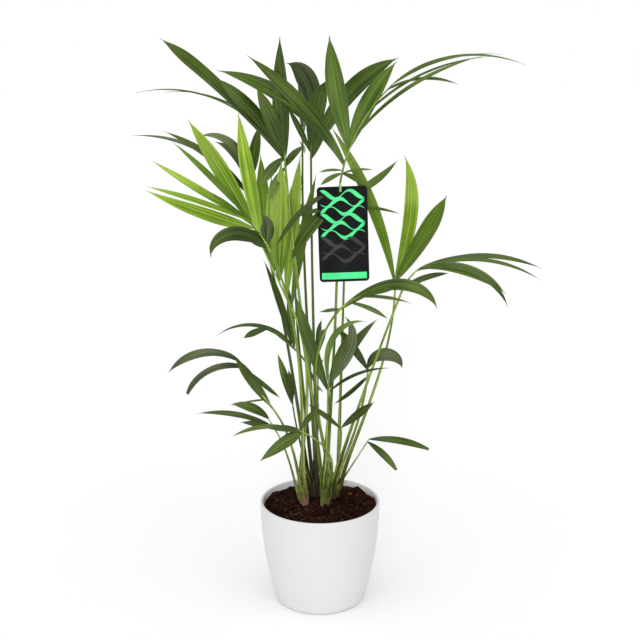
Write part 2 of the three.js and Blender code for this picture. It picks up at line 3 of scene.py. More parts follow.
import bpy
import numpy as np
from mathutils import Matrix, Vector


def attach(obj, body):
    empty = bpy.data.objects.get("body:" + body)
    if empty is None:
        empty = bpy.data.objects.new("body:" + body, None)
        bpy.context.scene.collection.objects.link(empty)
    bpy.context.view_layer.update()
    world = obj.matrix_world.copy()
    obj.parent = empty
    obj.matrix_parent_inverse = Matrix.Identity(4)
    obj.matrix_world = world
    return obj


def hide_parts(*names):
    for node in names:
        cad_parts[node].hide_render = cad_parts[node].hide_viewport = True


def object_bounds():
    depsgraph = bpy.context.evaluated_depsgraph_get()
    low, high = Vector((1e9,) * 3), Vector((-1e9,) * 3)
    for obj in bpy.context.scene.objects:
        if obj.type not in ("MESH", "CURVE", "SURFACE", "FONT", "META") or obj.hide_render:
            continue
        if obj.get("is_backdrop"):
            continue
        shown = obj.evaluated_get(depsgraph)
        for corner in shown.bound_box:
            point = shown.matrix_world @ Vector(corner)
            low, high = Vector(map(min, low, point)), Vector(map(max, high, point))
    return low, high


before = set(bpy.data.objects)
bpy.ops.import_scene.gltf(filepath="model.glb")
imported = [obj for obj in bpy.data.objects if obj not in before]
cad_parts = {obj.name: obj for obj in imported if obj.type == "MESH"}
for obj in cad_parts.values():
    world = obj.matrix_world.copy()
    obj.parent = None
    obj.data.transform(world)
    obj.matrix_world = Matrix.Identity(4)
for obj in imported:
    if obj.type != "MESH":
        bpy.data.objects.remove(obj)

# A young kentia palm in a white pot. Sizes here are millimetres, +Z up, with the plant's
# front towards -Y. makePiece turns them into metres as it fills a mesh.

cadLow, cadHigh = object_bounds()
millimetre = 0.001
plantSeed = 11


studio = {
    "cameraPlace": (0.0, -2.0, 1.03),
    "cameraPitch": 75.3,  # degrees up from straight down
    "lens": 69.2,
    "floorSize": 24.0,
    "skyGlow": 0.6,  # what the sky lights the plant with
    "aim": (0, 0, 0.4),
    # widths are degrees across: the wider the sun, the softer its shadow
    "broadSun": {"place": (-0.1, -0.6, 3.0), "power": 1.2, "width": 85},
    "frontSun": {"place": (-0.2, -3.0, 1.2), "power": 1.15, "width": 20},
}


def newObject(name, data):
    item = bpy.data.objects.new(name, data)
    bpy.context.scene.collection.objects.link(item)
    return item


def setCamera():
    data = bpy.data.cameras.new("camera")
    data.lens = studio["lens"]
    camera = newObject("camera", data)
    camera.location = studio["cameraPlace"]
    camera.rotation_euler = (math.radians(studio["cameraPitch"]), 0, 0)
    bpy.context.scene.camera = camera


def makeSun(name):
    data = bpy.data.lights.new(name, "SUN")
    data.energy = studio[name]["power"]
    data.angle = math.radians(studio[name]["width"])
    sun = newObject(name, data)
    sun.location = studio[name]["place"]
    aim = Vector(studio["aim"]) - sun.location
    sun.rotation_euler = aim.to_track_quat("-Z", "Y").to_euler()
    return sun


setCamera()
bpy.context.scene.view_settings.view_transform = "Standard"


def dice(*seed):
    return np.random.default_rng([plantSeed, *seed])


def blend(start, end, share):
    return start + (end - start) * share


# rises from 0 to 1 between two values and is level at both
def ease(value, low, high):
    share = np.clip((value - low) / (high - low), 0, 1)
    return share * share * (3 - 2 * share)


def unit(vectors):
    return vectors / np.linalg.norm(vectors, axis=-1, keepdims=True)


latticeSize = 64


# smooth bumps between -1 and 1: seeded heights on a square lattice, eased between its points
def bumps(x, y, cell, seed):
    lattice = dice(seed).uniform(-1, 1, (latticeSize, latticeSize))
    column, row = np.floor(x / cell), np.floor(y / cell)
    alongX, alongY = ease(x / cell - column, 0, 1), ease(y / cell - row, 0, 1)
    i, j = (line.astype(int) % (latticeSize - 1) for line in (column, row))
    near = blend(lattice[j, i], lattice[j, i + 1], alongX)
    far = blend(lattice[j + 1, i], lattice[j + 1, i + 1], alongX)
    return blend(near, far, alongY)


# a cubic curve pulled by four points
def cubic(points, share):
    a, b, c, d = points
    share = share[:, None]
    rest = 1 - share
    return a * rest ** 3 + 3 * b * rest ** 2 * share + 3 * c * rest * share ** 2 + d * share ** 3


# A skin over rings of points, one ring for each step of a path: quads between the rings,
# and a fan to a middle point at both ends. The rings turn anticlockwise about the path's
# way, so faces point out.
def skin(rings, acrossMap=None, shift=0.0, finish=0):
    rows, columns = rings.shape[:2]
    place = np.arange(rows * columns).reshape(rows, columns)
    after = np.roll(place, -1, axis=1)
    quads = np.stack([place[:-1], after[:-1], after[1:], place[1:]], axis=-1).reshape(-1, 4)
    foot = np.stack([after[0], place[0], np.full(columns, rows * columns)], axis=-1)
    tip = np.stack([place[-1], after[-1], np.full(columns, rows * columns + 1)], axis=-1)
    if acrossMap is None:
        acrossMap = np.linspace(0, 1, columns + 1)
    uv = np.stack(np.meshgrid(acrossMap, np.linspace(0, 1, rows)), axis=-1)
    quadUv = np.stack([uv[:-1, :-1], uv[:-1, 1:], uv[1:, 1:], uv[1:, :-1]], axis=2)
    footUv = np.stack([uv[0, 1:], uv[0, :-1], uv[0, :-1]], axis=1)
    tipUv = np.stack([uv[-1, :-1], uv[-1, 1:], uv[-1, :-1]], axis=1)
    ends = np.stack([rings[0].mean(axis=0), rings[-1].mean(axis=0)])
    return {
        "points": np.concatenate([rings.reshape(-1, 3), ends]),
        "faces": (quads, np.concatenate([foot, tip])),
        "uv": (quadUv, np.concatenate([footUv, tipUv])),
        "shift": shift, "finish": finish,
    }


# quads that close on themselves, without a map
def quadPart(points, quads, finish=0):
    return {
        "points": points.reshape(-1, 3),
        "faces": (quads, np.zeros((0, 3), int)),
        "uv": (np.zeros((len(quads) * 4, 2)), np.zeros((0, 2))),
        "shift": 0.0, "finish": finish,
    }


def fill(items, key, values, kind=np.float32):
    items.foreach_set(key, np.asarray(values).astype(kind).ravel())


# joins parts into one mesh object, which carries their map, their numbers and finishes
def makePiece(name, parts, finishes, node, slot=None, sharpAngle=60):
    sizes = [len(part["points"]) for part in parts]
    points = np.concatenate([part["points"] for part in parts])
    rows = []
    for kind in (0, 1):
        for part, start in zip(parts, np.cumsum([0] + sizes)):
            faces = part["faces"][kind]
            side, dealt = (np.full(len(faces), value) for value in (faces.shape[1], part["finish"]))
            rows.append((faces.ravel() + start, part["uv"][kind].reshape(-1, 2), side, dealt))
    corners, uv, side, dealt = (np.concatenate(column) for column in zip(*rows))
    mesh = bpy.data.meshes.new(name)
    mesh.vertices.add(len(points))
    mesh.loops.add(len(corners))
    mesh.polygons.add(len(side))
    fill(mesh.vertices, "co", points * millimetre)
    fill(mesh.loops, "vertex_index", corners, np.int32)
    fill(mesh.polygons, "loop_start", np.cumsum(side) - side, np.int32)
    fill(mesh.polygons, "material_index", dealt, np.int32)
    mesh.update(calc_edges=True)
    fill(mesh.uv_layers.new(name="along").uv, "vector", uv)
    shifts = mesh.attributes.new("shift", "FLOAT", "POINT")
    fill(shifts.data, "value", np.repeat([part["shift"] for part in parts], sizes))
    mesh.validate()
    mesh.shade_smooth()
    mesh.set_sharp_from_angle(angle=math.radians(sharpAngle))
    for finish in finishes:
        mesh.materials.append(finish)
    piece = newObject(name, mesh)
    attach(piece, "root")
    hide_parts(node)


grooveHalf = 0.55  # radians either side of the middle of a groove


# the two ways square to a path: the one nearest to where it faces, and the one to its right
def squareTo(path, facing):
    ahead = unit(np.gradient(path, axis=0))
    facing = np.asarray(facing, float)
    front = unit(facing - ahead * (ahead @ facing)[:, None])
    return front, np.cross(ahead, front)


# A round limb along a path: each ring is a circle of the path's radius there, pressed in
# by the groove on the side that it faces.
def limb(path, radius, sides, facing=(0, -1, 0), groove=0.0, shift=0.0):
    front, right = squareTo(path, facing)
    angle = np.linspace(0, 2 * np.pi, sides, endpoint=False)
    pressed = 1 - groove * np.exp(-((angle - np.pi) / grooveHalf) ** 2)
    reach = radius[:, None, None] * pressed[:, None]
    spoke = front[:, None] * np.cos(angle)[:, None] + right[:, None] * np.sin(angle)[:, None]
    return skin(path[:, None] + spoke * reach, shift=shift)


# sets a socket to a number or a colour, or links it to another socket
def connect(socket, value):
    if isinstance(value, bpy.types.NodeSocket):
        socket.id_data.links.new(value, socket)
    else:
        socket.default_value = (*value, 1) if socket.type == "RGBA" else value


def newFinish(name, colour, roughness, specular=0.5):
    material = bpy.data.materials.new(name)
    material.use_nodes = True
    shader = material.node_tree.nodes["Principled BSDF"]
    connect(shader.inputs["Base Color"], colour)
    connect(shader.inputs["Roughness"], roughness)
    connect(shader.inputs["Specular IOR Level"], specular)
    return material, shader


# a node in the tree that another node or socket belongs to
def addNode(beside, kind, **values):
    node = beside.id_data.nodes.new(f"ShaderNode{kind}")
    for key, value in values.items():
        if hasattr(node, key):
            setattr(node, key, value)
        else:
            connect(node.inputs[key], value)
    return node


def arithmetic(operation, first, second):
    node = addNode(first, "Math", operation=operation)
    connect(node.inputs[0], first)
    connect(node.inputs[1], second)
    return node.outputs[0]


# a colour between two others
def mixed(factor, first, second):
    node = addNode(factor, "Mix", data_type="RGBA")
    for number, value in ((0, factor), (6, first), (7, second)):
        connect(node.inputs[number], value)
    return node.outputs[2]


# a value spread from one range onto another, which is 0 to 1 unless given
def spread(value, *limits):
    node = addNode(value, "MapRange")
    for socket, number in zip(node.inputs, (value, *limits)):
        connect(socket, number)
    return node.outputs[0]


def patches(place, scale, detail=3, roughness=0.5):
    node = addNode(place, "TexNoise", Vector=place, Scale=scale, Detail=detail, Roughness=roughness)
    return node.outputs["Fac"]


# a finish's colour, and its relief: how deep in metres, and how strong
def dress(shader, colour, height, distance, strength):
    node = addNode(shader, "Bump", Height=height, Distance=distance, Strength=strength)
    connect(shader.inputs["Base Color"], colour)
    connect(shader.inputs["Normal"], node.outputs[0])


# the place on the piece, and its height
def placeOf(shader):
    place = addNode(shader, "TexCoord").outputs["Object"]
    return place, addNode(shader, "SeparateXYZ", Vector=place).outputs["Z"]


# the map along a piece, and its two ways, across and along
def mapOf(shader):
    uv = addNode(shader, "UVMap", uv_map="along").outputs[0]
    ways = addNode(shader, "SeparateXYZ", Vector=uv).outputs
    return uv, ways["X"], ways["Y"]


# where streaks are read: the map, squeezed both ways and shifted for each part
def streakPlace(across, along, *counts):
    shift = addNode(across, "Attribute", attribute_name="shift").outputs["Fac"]
    squeezed = {
        axis: arithmetic("MULTIPLY", value, count)
        for axis, value, count in zip("XYZ", (across, along, shift), (*counts, 40))
    }
    return addNode(across, "CombineXYZ", **squeezed).outputs[0]


# a leaf's deep and light colours, its rib's colour, and how strong its painted sheen is
leafTones = {
    "dark": ((0.017, 0.036, 0.002), (0.062, 0.102, 0.008), (0.1, 0.15, 0.02), 0.8),
    "middle": ((0.028, 0.062, 0.002), (0.086, 0.15, 0.01), (0.14, 0.22, 0.03), 0.7),
    "fresh": ((0.058, 0.125, 0.003), (0.13, 0.225, 0.01), (0.17, 0.27, 0.03), 0.45),
    # bright: the young fronds' own yellow-green, partly painted glow of light shining through them
    "bright": ((0.105, 0.2, 0.006), (0.29, 0.43, 0.03), (0.4, 0.54, 0.1), 0.3),
    # grey: a dull green whose pale, greyer light colour is painted sheen, the light on the tops of
    # arching leaflets
    "grey": ((0.02, 0.034, 0.006), (0.094, 0.125, 0.048), (0.15, 0.2, 0.08), 0.75),
}


# a leaf's colour runs in fine streaks along it, with a paler middle rib, soft patches, a greyer edge,
# painted shade that darkens it towards its foot, and a painted sheen in streaks over parts of it
def leafFinish(name, tone, brightness):
    *colours, strength = leafTones[tone]
    deep, light, rib = (tuple(brightness * value for value in colour) for colour in colours)
    sheen = tuple(1.7 * value + 0.3 * max(light) for value in light)
    edge = tuple(0.5 * value + 0.5 * max(light) for value in light)
    material, shader = newFinish(name, light, 0.42, 0.25)
    _, across, along = mapOf(shader)
    streakMap = streakPlace(across, along, 11, 0.9)
    streaks = patches(streakMap, 1, detail=4, roughness=0.6)
    fine = patches(streakMap, 2.3, detail=2)
    place, _ = placeOf(shader)
    clouds = patches(place, 18)
    gloss = patches(place, 11, detail=1)
    share = spread(streaks, 0.38, 0.62, -0.3, 0.75)
    share = arithmetic("ADD", share, spread(clouds, 0.3, 0.7, -0.1, 0.35))
    # painted shade: the leaflet is darker at its foot and lighter towards its tip
    wayUp = spread(along, 0, 0.8, -0.4, 0.25)
    plain = mixed(arithmetic("ADD", share, wayUp), deep, light)
    # painted sheen: pale streaks over patches of the leaf, standing in for light shining off it
    shine = spread(gloss, 0.44, 0.7, 0, strength)
    shine = arithmetic("MULTIPLY", shine, spread(fine, 0.38, 0.6, 0.25))
    fromRib = arithmetic("ABSOLUTE", arithmetic("SUBTRACT", across, 0.5), 0)
    shining = mixed(shine, plain, sheen)
    ribbed = mixed(spread(fromRib, 0.01, 0.04, 0.65, 0), shining, rib)
    colour = mixed(spread(fromRib, 0.44, 0.5, 0, 0.4), ribbed, edge)
    connect(shader.inputs["Roughness"], spread(clouds, 0.3, 0.7, 0.27, 0.4))
    dress(shader, colour, streaks, 0.0006, 0.6)
    return material


leafFinishes = {
    tone: [leafFinish(f"{tone}Leaf{number}", tone, brightness)
           for number, brightness in enumerate((0.82, 1, 1.2))]
    for tone in leafTones
}


# a stalk's colour at the soil, higher up, and in its pale streaks, which are partly painted highlight
stalkTones = {
    "stem_left": ((0.11, 0.15, 0.014), (0.165, 0.265, 0.022), (0.46, 0.57, 0.16)),
    "stem_middle": ((0.024, 0.022, 0.01), (0.08, 0.115, 0.02), (0.17, 0.22, 0.06)),
    "stem_front": ((0.06, 0.115, 0.008), (0.095, 0.18, 0.014), (0.42, 0.53, 0.14)),
    "stem_right": ((0.085, 0.1, 0.012), (0.145, 0.24, 0.02), (0.44, 0.55, 0.15)),
}


# a stalk is streaked pale and dark, partly its own streaks and partly painted highlight and painted
# shade, and browner and scurfy towards its foot
def stalkFinish(name, low, high, pale):
    material, shader = newFinish(name, high, 0.42, 0.2)
    _, across, along = mapOf(shader)
    streaks = patches(streakPlace(across, along, 9, 4), 1, detail=5, roughness=0.65)
    place, height = placeOf(shader)
    scurf = patches(place, 150, detail=4, roughness=0.7)
    ground = mixed(spread(height, 0.19, 0.4), low, high)
    # painted shade in the dark streaks and painted highlight in the pale ones, over the stalk's own
    # streaks
    dark = tuple(0.35 * value for value in low)
    shaded = mixed(spread(streaks, 0.34, 0.48, 0.75, 0), ground, dark)
    green = mixed(spread(streaks, 0.47, 0.62), shaded, pale)
    nearFoot = spread(height, 0.18, 0.31, 1, 0)
    brownness = arithmetic("MULTIPLY", nearFoot, spread(scurf, 0.47, 0.6, 0, 0.85))
    dress(shader, mixed(brownness, green, (0.085, 0.048, 0.022)), streaks, 0.0004, 0.4)
    return material


stalkFinishes = {stem: stalkFinish(f"stalk_{stem}", *tones) for stem, tones in stalkTones.items()}


# dry sheath: fibres run up it, brown low down and greener higher up
def sheathFinish(name, low, high, fibre):
    material, shader = newFinish(name, low, 0.7)
    fibrePlace = addNode(shader, "Mapping", Vector=mapOf(shader)[0], Scale=(34, 3, 1))
    fibres = patches(fibrePlace.outputs[0], 1, detail=5, roughness=0.7)
    place, height = placeOf(shader)
    wander = spread(patches(place, 90, detail=4), 0.3, 0.7, -0.018, 0.018)
    rise = spread(arithmetic("ADD", height, wander), 0.17, 0.225)
    ground = mixed(rise, low, high)
    colour = mixed(spread(fibres, 0.52, 0.72, 0, 0.75), ground, fibre)
    dress(shader, colour, fibres, 0.0012, 0.6)
    return material


# matt white, and whiter past the lip on the inside: painted light standing in for light on the inner
# wall
def potFinish():
    material, shader = newFinish("whiteGlaze", (0.64, 0.64, 0.64), 0.4)
    place, _ = placeOf(shader)
    clouds = patches(place, 14)
    colour = mixed(spread(clouds, 0.3, 0.7), (0.645, 0.65, 0.645), (0.67, 0.67, 0.67))
    # painted light: the inside past the lip is made whiter to stand in for light reaching the inner
    # wall
    inside = spread(mapOf(shader)[2], 0.58, 0.66)
    connect(shader.inputs["Roughness"], spread(clouds, 0.3, 0.7, 0.3, 0.42))
    glaze = mixed(inside, colour, (0.97, 0.97, 0.97))
    dress(shader, glaze, patches(place, 420), 0.0002, 0.15)
    connect(shader.inputs["Coat Weight"], 0.15)
    connect(shader.inputs["Coat Roughness"], 0.25)
    return material


# crumbs: peat, bark and the like, patched between two colours
def crumbFinish(name, deep, light, scale):
    material, shader = newFinish(name, deep, 0.9, 0.08)
    place, _ = placeOf(shader)
    clouds = patches(place, scale, detail=5, roughness=0.65)
    fine = patches(place, scale * 5, detail=3)
    share = spread(clouds, 0.35, 0.7)
    share = arithmetic("MULTIPLY", share, spread(fine, 0.3, 0.7, 0.4))
    dress(shader, mixed(share, deep, light), fine, 0.001, 0.8)
    return material


def cardFinish(name, colour, roughness):
    material, shader = newFinish(name, colour, roughness, 0.12)
    place, _ = placeOf(shader)
    worn = tuple(min(1, 1.25 * value + 0.004) for value in colour)
    clouds = spread(patches(place, 40), 0.35, 0.7)
    grain = patches(place, 900, detail=2)
    dress(shader, mixed(clouds, colour, worn), grain, 0.0001, 0.25)
    return material


potShape = {
    "height": 181, "rimRadius": 104, "belly": 26.5, "footRounding": 6,
    "wall": 5, "floor": 6, "hub": 20, "sides": 160, "wallSteps": 26, "arcSteps": 8,
}
soilTop = 163


# the wall leans in towards the foot with the square of the distance from the rim
def potRadius(height):
    depth = 1 - np.asarray(height) / potShape["height"]
    return potShape["rimRadius"] - potShape["belly"] * depth * depth


# the wall between two heights, drawn in by an inset
def wallProfile(low, high, inset):
    height = np.linspace(low, high, potShape["wallSteps"] + 1)
    return np.stack([potRadius(height) - inset, height], axis=1)


# an arc about a centre, between two angles in degrees
def arcProfile(centre, radius, first, last):
    angle = np.radians(np.linspace(first, last, potShape["arcSteps"] + 1))
    return np.stack([centre[0] + radius * np.cos(angle), centre[1] + radius * np.sin(angle)], axis=1)


# a profile of (radius, height) points turned about the upright axis
def turned(profile, sides):
    angle = np.linspace(0, 2 * np.pi, sides, endpoint=False)
    return np.stack([
        profile[:, :1] * np.cos(angle), profile[:, :1] * np.sin(angle),
        np.broadcast_to(profile[:, 1:], (len(profile), sides)),
    ], axis=-1)


# The pot: its outline goes from the foot round its edge and up the wall, over the lip as
# half a circle, down inside to the floor, and is turned about the upright axis.
def makePot():
    shape = potShape
    lip = shape["wall"] / 2
    lipHeight = shape["height"] - lip
    rounding = shape["footRounding"]
    outline = np.concatenate([
        [[shape["hub"], 0]],
        arcProfile((potRadius(rounding) - rounding, rounding), rounding, -90, 0),
        wallProfile(rounding, lipHeight, 0)[1:],
        arcProfile((potRadius(lipHeight) - lip, lipHeight), lip, 0, 180)[1:],
        wallProfile(lipHeight, shape["floor"], shape["wall"])[1:],
        [[shape["hub"], shape["floor"]]],
    ])
    body = skin(turned(outline, shape["sides"]))
    makePiece("glazed_pot", [body], [potFinish()], "pot", "pot", sharpAngle=40)


soilShape = {
    "sides": 180, "rings": 60, "gap": 0.6, "hub": 1.5, "rough": 3.0, "fine": 0.6, "sink": 2,
    "mound": 4, "moundMiddle": 30, "moundHalf": 55,
    "heap": 10, "heapRough": 0.3, "heapOut": (48, 92), "heapBack": (-55, 25),
}

# each stem's middle on the soil, and how far its top leans to the side
stemFeet = {
    "stem_left": (-25, 22), "stem_middle": (-10, 55), "stem_front": (9, 18), "stem_right": (23, 50),
}
stemLeans = {"stem_left": (-8, 0), "stem_middle": (-2, 0), "stem_front": (2, 0), "stem_right": (7, 0)}
stemHeight = 26
footDepth = 8.0  # how far stalks and sheaths go down into the soil
innerRadius = potRadius(soilTop) - potShape["wall"]  # the pot's, at the soil


# the soil's height: two sizes of bumps, a low mound about the stems, and a heap that
# rises towards the wall at the back and the sides
def soilHeight(x, y):
    shape = soilShape
    beside = 400  # keeps the lattice's places above zero
    coarse, fine, broad = (
        bumps(x + beside, y + beside, cell, seed) for cell, seed in ((9, 1), (3.5, 2), (16, 3))
    )
    mound = np.exp(-(x * x + (y - shape["moundMiddle"]) ** 2) / shape["moundHalf"] ** 2)
    heap = ease(np.hypot(x, y), *shape["heapOut"]) * ease(y, *shape["heapBack"])
    heap = heap * (1 + shape["heapRough"] * broad)
    rough = shape["rough"] * (coarse + shape["fine"] * fine)
    return soilTop - shape["sink"] + rough + shape["mound"] * mound + shape["heap"] * heap


# The soil: a turned plug that fills the pot, whose top rings take the soil's height.
def makeSoil():
    shape = soilShape
    base = potShape["floor"] + 0.3
    side = wallProfile(base, soilTop - 6, potShape["wall"] + shape["gap"])
    across = np.linspace(innerRadius - shape["gap"], shape["hub"], shape["rings"])
    top = np.stack([across, np.full(shape["rings"], soilTop)], axis=1)
    rings = turned(np.concatenate([[[5, base]], side, top]), shape["sides"])
    ground = rings[-shape["rings"]:]
    ground[..., 2] = soilHeight(ground[..., 0], ground[..., 1])
    peat = crumbFinish("peat", (0.0045, 0.0013, 0.001), (0.052, 0.014, 0.008), 70)
    makePiece("potting_soil", [skin(rings)], [peat], "soil", "soil")


# lengths are millimetres, breadths and thicknesses are shares of the length, and bark
# gives each kind's share and its two colours
chipShape = {
    "count": 760, "length": (1.5, 6.5), "breadth": (0.35, 0.75), "thickness": (0.2, 0.5),
    "shake": 0.45, "tip": 0.7, "inset": 4, "sink": 0.25,
}
bark = {
    "darkBark": (0.66, (0.006, 0.0025, 0.002), (0.03, 0.01, 0.007)),
    "redBark": (0.28, (0.026, 0.007, 0.005), (0.085, 0.022, 0.014)),
    "tanBark": (0.06, (0.08, 0.034, 0.02), (0.22, 0.11, 0.065)),
}


# Chips: a box whose eight corners are shaken, turned at random and dropped on the soil.
def makeChips():
    shape, count = chipShape, chipShape["count"]
    rng = dice(20)
    corner = np.array([[x, y, z] for z in (-1, 1) for y in (-1, 1) for x in (-1, 1)], float)
    face = np.array([
        [0, 2, 3, 1], [4, 5, 7, 6], [0, 1, 5, 4], [1, 3, 7, 5], [3, 2, 6, 7], [2, 0, 4, 6],
    ])
    block = corner + rng.uniform(-shape["shake"], shape["shake"], (count, 8, 3))
    length = rng.uniform(*shape["length"], (count, 1))
    shares = [rng.uniform(*shape[key], (count, 1)) for key in ("breadth", "thickness")]
    size = np.concatenate([length, *(length * share for share in shares)], axis=1) / 2
    turn, tip = rng.uniform(0, 2 * np.pi, count), rng.uniform(-shape["tip"], shape["tip"], count)
    block = block * size[:, None]
    lengthwise = np.stack([np.cos(turn) * np.cos(tip), np.sin(turn) * np.cos(tip), np.sin(tip)], axis=1)
    crosswise = np.stack([-np.sin(turn), np.cos(turn), np.zeros(count)], axis=1)
    ways = (lengthwise, crosswise, np.cross(lengthwise, crosswise))
    block = sum(block[..., [axis]] * way[:, None] for axis, way in enumerate(ways))
    radius = (innerRadius - shape["inset"]) * np.sqrt(rng.uniform(0, 1, count))
    bearing = rng.uniform(0, 2 * np.pi, count)
    x, y = radius * np.cos(bearing), radius * np.sin(bearing)
    block += np.stack([x, y, soilHeight(x, y) + shape["sink"] * size[:, 2]], axis=1)[:, None]
    kinds = rng.choice(3, count, p=[share for share, *_ in bark.values()])
    parts = []
    for kind in range(3):
        chosen = block[kinds == kind]
        quads = face + 8 * np.arange(len(chosen))[:, None, None]
        parts.append(quadPart(chosen, quads.reshape(-1, 4), kind))
    finishes = [crumbFinish(name, deep, light, 120) for name, (_, deep, light) in bark.items()]
    makePiece("bark_chips", parts, finishes, "soil", "soil", sharpAngle=25)


fibreShape = {
    "count": 70, "radius": 88, "length": (4, 15), "bend": (-1.6, 1.6), "rise": (0.3, 3.0),
    "girth": (0.08, 0.18), "rows": 9, "sides": 5,
}


# Fibres: thin bent threads, each a short arc lying on the soil.
def makeFibres():
    shape, rows = fibreShape, fibreShape["rows"]
    rng = dice(21)
    share = np.linspace(-0.5, 0.5, rows)
    parts = []
    for _ in range(shape["count"]):
        radius = shape["radius"] * math.sqrt(rng.uniform(0, 1))
        bearing, turn = rng.uniform(0, 2 * np.pi, 2)
        length, bend, rise, girth = (
            rng.uniform(*shape[key]) for key in ("length", "bend", "rise", "girth")
        )
        heading = turn + bend * share
        x = radius * math.cos(bearing) + length * share * np.cos(heading)
        y = radius * math.sin(bearing) + length * share * np.sin(heading)
        path = np.stack([x, y, soilHeight(x, y) + 0.5 + rise * np.cos(np.pi * share)], axis=1)
        parts.append(limb(path, np.full(rows, girth), shape["sides"], facing=(0.1, 0.2, 1)))
    fibre = crumbFinish("fibre", (0.14, 0.08, 0.05), (0.5, 0.4, 0.3), 60)
    makePiece("peat_fibres", parts, [fibre], "soil", "soil")


# A leaflet, or a fan of "count" leaflets, in which each pair of values runs from the first
# to the last: its place along the rachis, heading (degrees from straight up, positive to
# the right) and reach of its tip, width, and how far its way turns from foot to tip, evenly
# or "late". Lift and twist are degrees, dealt out if None. Roll is a share of its tone's.
def leaf(at, heading, reach, width, sweep, count=1, late=1, widest=0.5, tip=0.0,
         lift=None, twist=None, roll=1, tone=None):
    return dict(locals())


